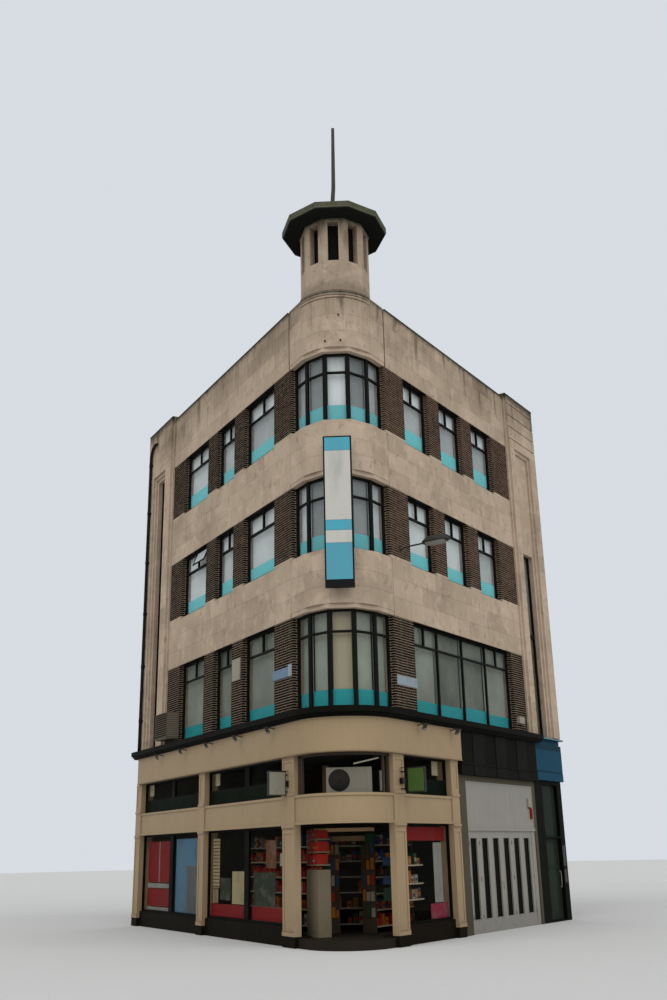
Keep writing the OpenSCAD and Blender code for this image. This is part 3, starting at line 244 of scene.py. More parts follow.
class Batch:
    """Like pieces gathered into one mesh, with a tint from 0 to 1 for each of them."""

    def __init__(self):
        self.points, self.faces, self.tints, self.count, self.where = [], [], [], 0, plan()

    def add(self, points, faces, tint=0.5):
        """Adds points, their faces by index, and one tint or a tint for each point."""
        points = np.asarray(points, float).reshape(-1, 3)
        self.points.append(points)
        self.tints.append(np.broadcast_to(np.asarray(tint, float), len(points)))
        for group in faces:
            self.faces += (np.asarray(group) + self.count).tolist()
        self.count += len(points)

    def boxes(self, low, high, tint=0.5):
        """Boxes between pairs of opposite corners, all at once."""
        low, high = np.asarray(low, float).reshape(-1, 3), np.asarray(high, float).reshape(-1, 3)
        points = low[:, None] + (high - low)[:, None] * UNIT_BOX
        faces = BOX_FACES + 8 * np.arange(len(low))[:, None, None]
        self.add(points, [faces.reshape(-1, 4)], np.repeat(np.broadcast_to(tint, len(low)), 8))

    def box(self, u, y, z, tint=0.5):
        """One box between two values of each coordinate."""
        self.boxes([[min(u), y[0], z[0]]], [[max(u), y[1], z[1]]], tint)

    def walls(self, *rows):
        """Boxes at the fronts, each as (side, start, end, near, far, foot, head, tint)."""
        for side, s0, s1, y0, y1, z0, z1, *tint in rows:
            self.box(self.where.span(side, s0, s1), (y0, y1), (z0, z1), *tint)

    def border(self, u, z, width, y):
        """Four boxes round an opening: over it, under it and at its sides."""
        over, wide = (z[1], z[1] + width), (u[0] - width, u[1] + width)
        for across, level in (
            (wide, over), (wide, (z[0] - width, z[0])), ((wide[0], u[0]), z), ((u[1], wide[1]), z)
        ):
            self.box(across, y, level)

    def rings(self, rings, tint=0.5, closed=False):
        """A skin through equal rings of points, capped at both ends unless it closes."""
        rings = np.asarray(rings, float)
        count, sides = rings.shape[:2]
        here = np.arange(count if closed else count - 1)[:, None] * sides
        there = (here + sides) % (count * sides)
        p = np.arange(sides)
        q = (p + 1) % sides
        quads = np.stack([here + p, there + p, there + q, here + q], axis=-1).reshape(-1, 4)
        ends = [] if closed else [[p], [(p + (count - 1) * sides)[::-1]]]
        self.add(rings, [quads] + ends, tint)

    def sheet(self, grid, tint=0.5):
        """A skin through a grid of points with free edges."""
        grid = np.asarray(grid, float)
        rows, columns = grid.shape[:2]
        i = np.arange(rows - 1)[:, None] * columns + np.arange(columns - 1)
        quads = np.stack([i, i + 1, i + columns + 1, i + columns], axis=-1).reshape(-1, 4)
        self.add(grid, [quads], tint)

    def strip(self, u, profile, tint=0.5, margin=0.0):
        """A closed profile of (y, z) points carried along the wall, with rings close
        together on the corner, where the wall curves. A margin rounds both ends off:
        over it the front is drawn back by as much."""
        inner = [u[0] + margin, u[1] - margin]
        low, high = max(inner[0], -self.where.arc), min(inner[1], self.where.arc)
        if high > low:
            inner += np.linspace(low, high, max(2, math.ceil((high - low) / CORNER_PITCH) + 1)).tolist()
        places = np.unique(np.round([u[0], *inner, u[1]], 6))
        profile = np.asarray(profile, float)
        rings = np.empty((len(places), len(profile), 3))
        rings[:, :, 0], rings[:, :, 1:] = places[:, None], profile
        if margin:
            rings[[0, -1], :, 1] = np.maximum(rings[[0, -1], :, 1], profile[:, 0].min() + margin)
        self.rings(rings, tint)

    def stone(self, u, z, face, edge, root, tint):
        """One stone with a worn edge round its face, following the wall."""
        front = [(face + edge, z[0]), (face, z[0] + edge), (face, z[1] - edge), (face + edge, z[1])]
        self.strip(u, [(root, z[0]), *front, (root, z[1])], tint, edge)

    def tube(self, path, radius, sides=12, closed=False):
        """A round tube: at each point of the path a circle lies square to the path's
        direction. The radius may differ from point to point."""
        path = np.asarray(path, float)
        along = np.gradient(path, axis=0)
        along /= np.linalg.norm(along, axis=1)[:, None]
        guide = np.eye(3)[np.argmin(np.ptp(path, axis=0) + 1e-3 * np.arange(3))]
        side = np.cross(along, guide)
        side /= np.linalg.norm(side, axis=1)[:, None]
        up = np.cross(side, along)
        turn = circle(sides)[None, :, None]
        radius = np.broadcast_to(radius, len(path))[:, None, None]
        self.rings(path[:, None] + radius * (np.cos(turn) * side[:, None] + np.sin(turn) * up[:, None]), closed=closed)

    def piece(self, name, finish, slot, smooth=False, body=BODY, bent=True):
        """Makes the mesh object, which rides on a body and takes the given finish.
        Its points are on the strip of the fronts, unless it isn't bent. The slot is not used."""
        points = np.concatenate(self.points)
        if bent:
            points = self.where.place(points)
        mesh = bpy.data.meshes.new(name)
        mesh.from_pydata(points.tolist(), [], self.faces)
        mesh.attributes.new("tint", "FLOAT", "POINT").data.foreach_set("value", np.concatenate(self.tints))
        mesh.polygons.foreach_set("use_smooth", [smooth] * len(mesh.polygons))
        mesh.materials.append(finish)
        mesh.validate()
        mesh.update()
        obj = bpy.data.objects.new(name, mesh)
        bpy.context.scene.collection.objects.link(obj)
        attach(obj, body)
        return obj


def smooth_path(points, steps=6):
    """A path through the given points: each stretch is a cubic whose slope at a point
    is half the way from the point before it to the point after it."""
    points = np.asarray(points, float)
    padded = np.concatenate([2 * points[:1] - points[1:2], points, 2 * points[-1:] - points[-2:-1]])
    t = np.linspace(0, 1, steps, endpoint=False)[:, None]
    out = []
    for a, b, c, d in zip(padded, padded[1:], padded[2:], padded[3:]):
        out.append(b + 0.5 * ((c - a) * t + (2 * a - 5 * b + 4 * c - d) * t**2 + (3 * b - a - 3 * c + d) * t**3))
    return np.concatenate(out + [points[-1:]])


# Finishes


class Field:
    """A socket that takes part in sums: an expression on fields adds its Math nodes."""

    def __init__(self, nodes, socket):
        self.nodes, self.socket = nodes, socket

    def maths(self, operation, *terms):
        """A Math node's result for fields and numbers."""
        return self.nodes.node("ShaderNodeMath", {"operation": operation}, *terms)

    def clamp(self):
        """The field, held between 0 and 1."""
        return self.nodes.node("ShaderNodeClamp", {}, self)

    def __add__(self, other):
        return self.maths("ADD", self, other)

    def __sub__(self, other):
        return self.maths("SUBTRACT", self, other)

    def __rsub__(self, other):
        return self.maths("SUBTRACT", other, self)

    def __mul__(self, other):
        return self.maths("MULTIPLY", self, other)

    def __gt__(self, other):
        return self.maths("GREATER_THAN", self, other)

    __radd__ = __add__
    __rmul__ = __mul__


class Nodes:
    """A node tree that new nodes go into."""

    def __init__(self, owner):
        owner.use_nodes = True
        self.tree = owner.node_tree

    def node(self, kind, settings, *values, out=0, **named):
        """Makes a node of a type, with its settings first and then its sockets' values
        or links, and returns its output as a field. None leaves a socket as it is."""
        node = self.tree.nodes.new(kind)
        for name, value in settings.items():
            setattr(node, name, value)
        for key, value in list(enumerate(values)) + list(named.items()):
            self.feed(node.inputs[key], value)
        return Field(self, node.outputs[out])

    def feed(self, socket, value):
        """Links a field to a socket, or sets the socket's value."""
        if isinstance(value, Field):
            self.tree.links.new(value.socket, socket)
        elif value is not None:
            long = socket.type == "RGBA" and len(value) == 3
            socket.default_value = (*value, 1.0) if long else value


class Finish(Nodes):
    """One material, made of fields that feed the sockets of its Principled shader."""

    def __init__(self, name, **values):
        self.material = bpy.data.materials.new(name)
        super().__init__(self.material)
        self.set(**{"Specular_IOR_Level": 0.05, **values})

    def set(self, **values):
        """Sets sockets of the shader by name, with underscores for spaces."""
        for name, value in values.items():
            self.feed(self.tree.nodes["Principled BSDF"].inputs[name.replace("_", " ")], value)

    def place(self, tall=1.0):
        """Object coordinates, with the height multiplied by tall."""
        here = self.node("ShaderNodeTexCoord", {}, out=3)
        return self.node("ShaderNodeVectorMath", {"operation": "MULTIPLY"}, here, (1.0, 1.0, tall))

    def noise(self, size, detail=3.0, tall=1.0):
        """Smooth random values from 0 to 1 whose spots are about size metres across.
        With tall under 1 they are drawn out upwards."""
        at = self.place(tall)
        return self.node("ShaderNodeTexNoise", {}, Vector=at, Scale=1.0 / size, Detail=detail, Roughness=0.55)

    def step(self, field, low, high):
        """0 below low, 1 above high and a smooth rise between them."""
        return self.node("ShaderNodeMapRange", {"interpolation_type": "SMOOTHSTEP"}, field, low, high, 0.0, 1.0)

    def mix(self, a, b, share):
        """A colour between two colours, by a share from 0 to 1."""
        return self.node("ShaderNodeMix", {"data_type": "RGBA"}, share, *[None] * 5, a, b, out=2)

    def patches(self, body, tone, noise, low, high, amount):
        """A second colour in patches over a first, where noise rises from low to high."""
        return self.mix(body, tone, self.step(self.noise(*noise), low, high) * amount)

    def tint(self):
        """The tint of the piece that the point is on."""
        return self.node("ShaderNodeAttribute", {"attribute_name": "tint"}, out=2)

    def by_tint(self, body, *rows):
        """One colour after another as the tint rises: each row has a colour, the tint
        where it begins and, where it comes in slowly, the tint where it is full."""
        for tone, low, *high in rows:
            body = self.mix(body, tone, self.step(self.tint(), low, *high) if high else self.tint() > low)
        return body

    def height(self):
        """Height above the ground."""
        return self.node("ShaderNodeSeparateXYZ", {}, self.place(), out=2)

    def done(self, tone, field=None, depth=0.002, strength=0.6):
        """The material, with its colour, and raised by up to depth metres by a field."""
        self.set(Base_Color=tone)
        if field is not None:
            self.set(Normal=self.node("ShaderNodeBump", {}, Strength=strength, Distance=depth, Height=field))
        return self.material


def shade(base, *factors):
    """A colour made lighter or darker, by one factor or by one for each channel."""
    return tuple(min(1.0, c * k) for c, k in zip(base, factors * (3 // len(factors))))


def stone_finish(name, light, dark, tinted=True, crown=16.41, foot=None):
    """Sawn stone: tone by block, broad clouds, pale and dark blotches, upright rain
    streaks and fine pits, with soot and moss towards the crown's height and, where a
    foot height is given, moss round the foot."""
    f = Finish(name, Roughness=0.88)
    clouds, streaks, grain = f.noise(1.4, 5.0), f.noise(0.12, 4.0, 0.12), f.noise(0.012, 5.0)
    tone = (f.tint() - 0.5) * 1.2 + 0.5 if tinted else 0.5
    high = f.step(f.height(), crown - 1.8, crown)
    dirt = (clouds * 1.3 + streaks * (high * 0.6 + 0.35) + (1.0 - tone) * 0.40 - 0.84 + high * 0.10).clamp()
    body = f.mix(light, dark, dirt * 0.95)
    pale = f.step(f.noise(0.42, 5.0), 0.52, 0.66) * 0.42
    body = f.mix(body, shade(light, 1.22), pale * (1.0 - high * 0.7))
    body = f.patches(body, shade(dark, 0.95), (0.17, 6.0, 0.6), 0.57, 0.70, 0.45)
    body = f.patches(body, shade(dark, 0.75), (0.055, 4.0), 0.62, 0.70, 0.30)
    blackening = f.step(f.noise(0.35, 5.0, 0.22), 0.54, 0.68) * high
    body = f.mix(body, shade(dark, 0.42), blackening * 0.7)
    edge = f.step(f.height() + f.noise(0.15, 4.0) * 0.25, crown - 0.11, crown + 0.11)
    if foot:
        edge = edge + f.step(f.noise(0.12, 5.0) * 0.45 - f.height(), -foot - 0.06, 0.16 - foot) * 0.4
    body = f.mix(body, (0.045, 0.042, 0.030), (edge * 0.75).clamp())
    body = f.mix(body, shade(dark, 0.7), f.step(grain, 0.62, 0.75) * 0.35)
    return f.done(body, grain + streaks * 0.4, 0.003)


def brick_finish(dark, red):
    """Facing brick: each brick has its own tone from its tint, with darker fired
    patches and a sandy face."""
    f = Finish("brick_face", Roughness=0.84)
    body = f.by_tint(dark, (red, 0.10, 0.95))
    body = f.patches(body, shade(dark, 1.8, 1.5, 1.8), (1.3, 3.0), 0.4, 0.7, 0.5)
    body = f.patches(body, shade(dark, 0.6), (0.05, 4.0), 0.52, 0.75, 0.4)
    return f.done(f.patches(body, shade(red, 2.2), (0.006, 4.0), 0.62, 0.8, 0.3), f.noise(0.006, 4.0))


def party_finish():
    """Common brick outside and limewashed plaster inside. The bond runs along each
    wall: the distance along it is the place times the level direction in its face,
    which is square to the face's normal. A face is inside where its normal points to
    the middle of the plan."""
    f = Finish("party_face", Roughness=0.9)

    def vector(operation, *terms, out=0):
        return f.node("ShaderNodeVectorMath", {"operation": operation}, *terms, out=out)

    here, normal = f.place(), f.node("ShaderNodeNewGeometry", {}, out=1)
    along = vector("DOT_PRODUCT", here, vector("CROSS_PRODUCT", (0.0, 0.0, 1.0), normal), out=1)
    spot = f.node("ShaderNodeCombineXYZ", {}, along, f.height(), 0.0)
    tones = (0.17, 0.085, 0.06), (0.095, 0.05, 0.038), (0.30, 0.27, 0.23)
    bricks = f.node("ShaderNodeTexBrick", {}, spot, *tones, 1.0, 0.012, 0.15, 0.0, 0.225, 0.075)
    outside = f.patches(bricks, (0.06, 0.045, 0.04), (1.2, 4.0, 0.4), 0.4, 0.75, 0.5)
    outward = vector("DOT_PRODUCT", vector("SUBTRACT", here, (0.0, 6.0, 0.0)), normal, out=1)
    inside = f.mix((0.16, 0.14, 0.11), (0.10, 0.085, 0.068), f.noise(0.8, 4.0))
    return f.done(f.mix(inside, outside, outward > 0.0), f.noise(0.02, 4.0), 0.003)


def plaster(name, base, size=0.4, rough=0.85, contrast=0.25):
    """A mineral surface: broad clouds and a fine grain."""
    f = Finish(name, Roughness=rough)
    grain = f.noise(size * 0.04, 3.0)
    body = f.mix(shade(base, 1.0 - contrast), shade(base, 1.0 + contrast), f.noise(size, 4.0))
    return f.done(f.mix(body, shade(base, 0.6), f.step(grain, 0.6, 0.8) * 0.4), grain)


def paint(name, base, rough=0.4, wear=0.35, dirt=None, foot=1.4, tinted=False):
    """Brushed paint: slight brush lines, chips, grime in clouds, and splash dirt that
    fades upwards from the pavement. Without a dirt colour the grime is the paint's own
    colour darkened towards brown."""
    f = Finish(name, Specular_IOR_Level=0.02 + 0.3 * min(base))
    dirt = dirt or tuple(0.35 * c + d for c, d in zip(base, (0.006, 0.005, 0.004)))
    clouds, splash = f.noise(0.7, 4.0), 1.0 - f.step(f.height(), 0.1, foot)
    body = f.mix(shade(base, 0.86), shade(base, 1.10), clouds)
    if tinted:
        body = f.by_tint(shade(base, 0.45), (body, 0.0, 1.0))
    grime = (f.step(clouds, 0.5, 0.85) * 0.5 + splash * f.noise(0.15, 4.0) * 1.2).clamp() * wear
    body = f.mix(body, dirt, grime)
    runs = f.step(f.noise(0.09, 4.0, 0.08), 0.52, 0.72) * wear * 0.5
    chips = f.step(f.noise(0.035, 5.0), 0.70, 0.74) * wear
    body = f.mix(f.mix(body, shade(base, 0.55), runs), shade(base, 0.4), chips)
    f.set(Roughness=f.noise(0.3, 3.0) * 0.25 + rough - 0.1)
    return f.done(body, f.noise(0.02, 3.0, 0.12) + chips, 0.001, 0.4)


def glass(name, base, alpha, rough=0.05, dust=0.06):
    """Glass that is partly see-through, with faint dust in upright runs."""
    f = Finish(name, Base_Color=base, Specular_IOR_Level=0.012)
    runs = f.step(f.noise(0.25, 4.0, 0.3), 0.45, 0.8)
    f.set(Alpha=(runs * dust + alpha).clamp(), Roughness=runs * 0.15 + rough)
    return f.material


def sky_glass():
    """The upper panes: a painted reflection of the sky, a thin veil that is cloudy and stronger higher up, where the
    street no longer shades them."""
    f = Finish("upper_panes", Roughness=0.05)
    high = f.step(f.height(), 7.2, 9.6)
    f.set(Alpha=((f.noise(1.6, 3.0, 0.7) * 0.12 + 0.01) * high + 0.03).clamp())
    return f.done(f.mix((0.26, 0.31, 0.27), (0.44, 0.50, 0.52), high))


def cloth(name, light, dark):
    """Blind cloth: its tint sets how dark it is. On the first floor it is greener and darker, painted shade of the
    street on the glass, and higher up it is paler, a painted reflection of the pale sky."""
    f = Finish(name, Roughness=0.9, Specular_IOR_Level=0.0)
    body = f.mix(shade(light, 0.84, 0.92, 0.84), shade(light, 1.16, 1.24, 1.36), f.step(f.height(), 7.6, 9.0))
    return f.done(f.mix(dark, body, (f.tint() * 0.9 + f.noise(1.1, 3.0) * 0.36 - 0.09).clamp()))


def film_finish(base):
    """Coloured film on the glass: deep where its tint is low, pale where it is high. The tints are painted light: pale
    for the upper films that the sky lights, deep for the first floor's, which the street shades.
    """
    f = Finish("teal_film", Roughness=0.4, Alpha=0.95)
    pale = tuple(c + more for c, more in zip(base, (0.11, 0.26, 0.27)))
    share = (f.tint() * 0.95 + f.noise(0.5, 3.0) * 0.15 - 0.07).clamp()
    return f.done(f.mix(shade(base, 0.55, 0.68, 0.68), pale, share))


def moss_finish():
    """Wet weathered stone: green-grey moss on the edge, a paler band along the arris at its foot and a near-black
    underside, painted shade under the cap's overhang, told apart by height."""
    f = Finish("cap_face", Roughness=0.95, Specular_IOR_Level=0.1)
    body = f.mix((0.045, 0.047, 0.032), (0.14, 0.13, 0.095), f.noise(0.35, 5.0))
    body = f.patches(body, (0.050, 0.066, 0.022), (0.07, 5.0), 0.42, 0.62, 0.7)
    arris = f.step(f.height(), 18.806, 18.812) * (1.0 - f.step(f.height(), 18.816, 18.83))
    # The underside is painted near-black: painted shade under the overhang
    underside_shade = 1.0 - f.step(f.height(), 18.795, 18.806)
    body = f.mix(body, (0.20, 0.19, 0.15), arris * 0.6)
    return f.done(f.mix(body, (0.006, 0.0065, 0.006), underside_shade * 0.96), f.noise(0.03, 5.0), 0.006)


def printed(name, rough, tones, dirt, grain, depth=0.001, strength=0.3, **values):
    """A smooth face with one colour after another by its tint, dirt in patches and a
    slight grain."""
    f = Finish(name, Roughness=rough, **values)
    return f.done(f.patches(f.by_tint(*tones), *dirt), f.noise(*grain), depth, strength)


def pack_finish():
    """Generic goods: each pack has one of six plain colours by its tint."""
    tones = (
        (0.27, 0.018, 0.010), ((0.28, 0.10, 0.015), 0.20), ((0.026, 0.045, 0.085), 0.42), ((0.23, 0.20, 0.14), 0.56),
        ((0.018, 0.048, 0.026), 0.72), ((0.055, 0.030, 0.016), 0.88),
    )
    return printed("pack_card", 0.5, tones, ((0.02, 0.018, 0.015), (0.4, 3.0), 0.45, 0.8, 0.5), (0.03, 2.0))


def refinish(finish, *nodes):
    """Gives CAD nodes a finish in place of their plain one."""
    for name in nodes:
        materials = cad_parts[name].data.materials
        materials.clear()
        materials.append(finish)


# Brickwork


def pier_bricks(batch, mortar, bricks, span, z, random, light_lift):
    """One pier in English bond. A course of headers has an odd number of whole bricks;
    the next has stretchers of two units between bats of one and a half, so that no
    upright joints meet. Each brick's back shows at the sides of the windows."""
    (u0, u1), plan_set = span, batch.where.set
    count = max(1, round((z[1] - z[0]) / bricks.course))
    height = (z[1] - z[0]) / count
    depth = plan_set.recess + plan_set.frame_depth
    units = max(3, 2 * round((u1 - u0) / (bricks.brick_width + bricks.joint) / 2 - 0.5) + 1)
    unit = (u1 - u0 + bricks.joint) / units
    headers = np.arange(units + 1) * unit
    stretchers = np.array([0.0, *np.arange(1.5, units - 1, 2.0), units]) * unit
    for i in range(count):
        cuts = u0 + (stretchers if i % 2 else headers)
        low, high = cuts[:-1], cuts[1:] - bricks.joint
        z0 = z[0] + i * height
        z1, reach = z0 + height - bricks.joint, bricks.brick_width if i % 2 else depth
        # Each brick's tint is raised or lowered by side and storey: painted light and shade
        near, tint = -random.uniform(0.0, 0.004, len(low)), random.uniform(0, 0.75, len(low)) + light_lift
        batch.boxes(xyz(low, near, z0), xyz(high, reach, z1), tint)
        if i % 2:
            for u in ((u0, u0 + bricks.brick_length), (u1 - bricks.brick_length, u1)):
                batch.box(u, (reach + bricks.joint, depth), (z0, z1), random.uniform(0, 0.75) + light_lift)
    mortar.box((u0 + bricks.proud, u1 - bricks.proud), (bricks.proud, plan_set.wall), z)


class BrickFacing(bpy.types.Operator):
    """Lays the brick piers between the windows, brick by brick"""

    bl_idname = "shop_building.brick_facing"
    bl_label = "Brick piers"

    # How much redder and lighter the bricks are painted, by side and storey: painted light, lighter on the right
    # front's upper piers, which the sky lights, and darker on the left front as painted shade
    PAINTED_LIGHT_LIFT = {LEFT: (-0.22, -0.14, -0.08), RIGHT: (-0.20, 0.28, 0.50)}

    def execute(self, context):
        bricks, random = context.scene.shop_brick, np.random.default_rng(3)
        batch, mortar = Batch(), Batch()
        for level, (sill, head) in enumerate(batch.where.storeys):
            z = (sill + (bricks.foot if level else 0.001), head - 0.012)
            for side, *pier in batch.where.piers(level):
                span = batch.where.span(side, *pier)
                pier_bricks(batch, mortar, bricks, span, z, random, self.PAINTED_LIGHT_LIFT[side][level])
        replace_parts(batch.piece("pier_bricks", brick_finish(bricks.dark, bricks.red), "brick"), "brick_piers")
        bed = plaster("brick_mortar", bricks.mortar, 0.3, 0.95)
        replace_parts(mortar.piece("pier_mortar", bed, "brick"), "brick_piers")
        refinish(party_finish(), "left_party_wall", "right_party_wall")
        return {"FINISHED"}


# Stonework


class StoneFacing(bpy.types.Operator):
    """Faces the bands, the parapet and the end bays with stones, leaving the upright
    joints beside the corner window open"""

    bl_idname = "shop_building.stone_facing"
    bl_label = "Stonework"

    # How far the corner's stones stop short of its sills and heads, the top of those
    # under the lantern, and the rise of the end bays over the parapet
    FACET, CORNER_TOP, BAY_RISE = 0.11, 16.145, 0.095
    # Width of the stone between the corner window and the upright joint, and of the
    # narrow joints under the top one
    POST, NARROW = 0.055, 0.010
    # The end bays: side, start and end of the slot, its head, and the channels' width
    BAYS = ((LEFT, 11.67, 12.36, 14.50, 0.0), (RIGHT, 10.44, 11.20, 14.40, 0.035))
    # Iron studs in the corner's top: place and height
    STUDS = ((-0.26, 14.86), (0.14, 14.86), (0.10, 15.62))

    def execute(self, context):
        self.stones, self.random = context.scene.shop_stone, np.random.default_rng(7)
        self.batch, groove = Batch(), Batch()
        where, light, dark = self.batch.where, self.stones.light, self.stones.dark
        near = where.set.bow + self.POST
        feet = [z1 for _, z1 in where.storeys]
        tops = [z0 for z0, _ in where.storeys[1:]] + [where.set.parapet]
        for z0, z1, gap in zip(feet, tops, (self.NARROW, self.NARROW, self.stones.groove)):
            top = gap == self.stones.groove
            level = (z0 + self.FACET, self.CORNER_TOP if top else z1 - self.FACET)
            self.courses((where.u(LEFT, where.tangent), where.u(RIGHT, where.tangent)), level, 0.0)
            for side in (LEFT, RIGHT):
                self.courses(where.span(side, near + gap, where.bays[side]), (z0, z1), 0.0)
                self.courses(where.span(side, where.tangent + 0.002, near), (level[0], z1 if top else level[1]), 0.0)
                # A dark lining at the back of the upright joints: inside the top groove, and behind the narrow joints
                depth = (0.015, 0.0245) if top else (-0.0015, 0.001)
                groove.walls((side, near, near + gap, *depth, z0 + 0.002, z1 - 0.002))
        for bay in self.BAYS:
            self.bay(*bay)
        for level in (1, 2):
            z = (where.storeys[level][0] + 0.0005, where.storeys[level][0] + context.scene.shop_brick.foot)
            for pier in where.piers(level):
                u0, u1 = where.span(*pier)
                tint = self.random.uniform(0.3, 0.8)
                face = (-self.stones.proud, self.stones.chamfer, where.set.recess)
                self.batch.stone((u0 + 0.001, u1 - 0.001), z, *face, tint)
        self.batch.piece("stone_facing", stone_finish("stone_face", light, dark), "ashlar")
        groove.piece("upright_joints", plaster("groove_dark_lining", (0.035, 0.030, 0.024), 0.3, 0.95), "ashlar")
        plain = stone_finish("stone_plain", light, dark, tinted=False)
        refinish(plain, "stone_bands", "parapet", "left_end_bay", "right_end_bay")
        tower = stone_finish("lantern_stone", shade(light, 0.87), dark, False, 18.80, 16.62)
        refinish(tower, "lantern_drum", "lantern_posts")
        self.coping(near + self.stones.groove + 0.03)
        studs = Batch()
        for u, z in self.STUDS:
            studs.tube([[u, 0.0, z], [u, -0.05, z], [u, -0.07, z - 0.02]], 0.022, 8)
        iron = paint("iron_studs", (0.03, 0.028, 0.026), 0.6)
        studs.piece("corner_studs", iron, "black_frame", smooth=True)
        return {"FINISHED"}

    def course(self, span, z, face, shift):
        """One course between two places: stones of the usual length, give or take a
        tenth, with the joints of every second course moved by half a stone."""
        count = max(1, round((span[1] - span[0]) / self.stones.stone_length))
        cuts = np.linspace(*span, count + 1)
        if count > 1:
            cuts[1:-1] += (0.25 * shift + self.random.uniform(-0.06, 0.06, count - 1)) * (span[1] - span[0]) / count
        gap = self.stones.joint / 2
        for a, b in zip(cuts, cuts[1:]):
            tint = np.clip(self.random.normal(0.5, 0.22), 0, 1)
            form = (face - self.stones.proud, self.stones.chamfer, face + 0.002, tint)
            self.batch.stone((a + gap, b - gap), (z[0] + gap, z[1] - gap), *form)

    def courses(self, span, z, face):
        """Courses of about the usual height between two levels."""
        levels = np.linspace(*z, max(1, round((z[1] - z[0]) / self.stones.course)) + 1)
        for i, level in enumerate(zip(levels, levels[1:])):
            self.course(span, level, face, 1 if i % 2 else -1)

    def bay(self, side, slot_start, slot_end, head, channel):
        """Facing of one end bay: two upright jambs beside the slot's stepped panel and
        whole courses over it, parted by the channels under the top."""
        where, step = self.batch.where, self.batch.where.set.bay_step
        inner, end, face = where.bays[side], where.ends[side], -where.set.bay_out
        head = head + 2 * step
        for ends in ((inner + step, slot_start - 2 * step), (slot_end + 2 * step, end)):
            self.courses(where.span(side, *ends), (where.set.first_sill, head), face)
        for i in (3, 2, 1, 0, None):
            top = where.set.parapet + (self.BAY_RISE if i is None else -0.23 - 0.42 * i)
            self.course(where.span(side, inner + step, end), (head, top), face, 1)
            head = top + channel

    def coping(self, start):
        """A thin dark weathering along the top of the parapet and the end bays: a low
        roof-shaped profile that overhangs a little."""
        batch = Batch()
        where, far = batch.where, batch.where.set.wall + 0.01
        for side in (LEFT, RIGHT):
            bay = where.bays[side]
            over_bay = (bay, where.ends[side]), where.set.bay_out, self.BAY_RISE
            for ends, out, rise in (((start, bay - 0.004), 0, 0), over_bay):
                y = (far, far, where.set.wall / 2, -0.022 - out, -0.022 - out)
                z = [where.set.parapet + rise + v for v in (-0.035, 0.012, 0.022, 0.012, -0.035)]
                batch.strip(where.span(side, *ends), list(zip(y, z)))
        lead = stone_finish("coping_stone", (0.12, 0.105, 0.078), (0.05, 0.045, 0.034), tinted=False)
        batch.piece("parapet_coping", lead, "ashlar")


class Lantern(bpy.types.Operator):
    """Finishes the lantern's cap, and makes the bent mast with its plate and cleats"""

    bl_idname = "shop_building.lantern"
    bl_label = "Cap and mast"

    # Radius of the lining, whose dark is painted shade for the closed lantern's inside, the mast's depth in its plate,
    # its radius there and what it loses
    LINING, TOE, FOOT, TAPER = 0.70, 0.01, 0.066, 0.020

    def execute(self, context):
        """The plate is a profile turned round the mast's foot. The mast leans by a
        straight line less half a wave of a sine near its foot."""
        refinish(moss_finish(), "lantern_cap")
        lining, batch = Batch(), Batch()
        turn = np.linspace(0, 2 * math.pi, 31)
        # A near-black sheet round the lantern's inside: painted shade, as the roofed lantern is dark within
        lining.sheet([xyz(self.LINING * np.cos(turn), self.LINING * np.sin(turn), z) for z in (17.40, 18.76)])
        blackening = plaster("lantern_painted_shade", (0.010, 0.010, 0.009), 0.5, 0.95)
        lining.piece("lantern_lining", blackening, "ashlar", smooth=True, bent=False)
        low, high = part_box("mast")
        turn = circle(32)
        plate = ((0.0, 0.05), (0.10, 0.045), (0.128, 0.03), (0.128, 0.0), (0.0, 0.0))
        batch.rings([xyz(r * np.cos(turn), r * np.sin(turn), low.z + z) for r, z in plate])
        t = np.linspace(0, 1, 25)
        bend = 0.035 * t - 0.03 * np.sin(math.pi * np.clip(2.5 * t, 0, 1))
        path = xyz(bend, 0.0, low.z + self.TOE + t * (high.z - low.z - self.TOE))
        batch.tube(path, self.FOOT - self.TAPER * t, 20)
        for z, turn in ((0.55, 0.4), (0.62, 3.3), (1.9, 1.2)):
            across, along, foot = math.cos(turn), math.sin(turn), low.z + z
            hook = ((0.05, 0), (0.10, 0.02), (0.10, 0.12))
            batch.tube([[r * across, r * along, foot + up] for r, up in hook], 0.014, 8)
        pole = paint("mast_face", (0.060, 0.060, 0.048), 0.6, 0.6, (0.13, 0.13, 0.12))
        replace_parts(batch.piece("bent_mast", pole, "mast_paint", smooth=True, bent=False), "mast")
        return {"FINISHED"}


# Windows


def pleated_sheet(batch, glazing, span, z, y, tint):
    """A blind: a sheet whose depth follows a sine along the wall, one wave a pleat."""
    u = np.linspace(*span, max(3, int((span[1] - span[0]) / glazing.pleat * 4)))
    wave = y + glazing.pleat_depth * np.sin(2 * math.pi * u / glazing.pleat)
    batch.sheet([xyz(u, wave, level) for level in z], tint)


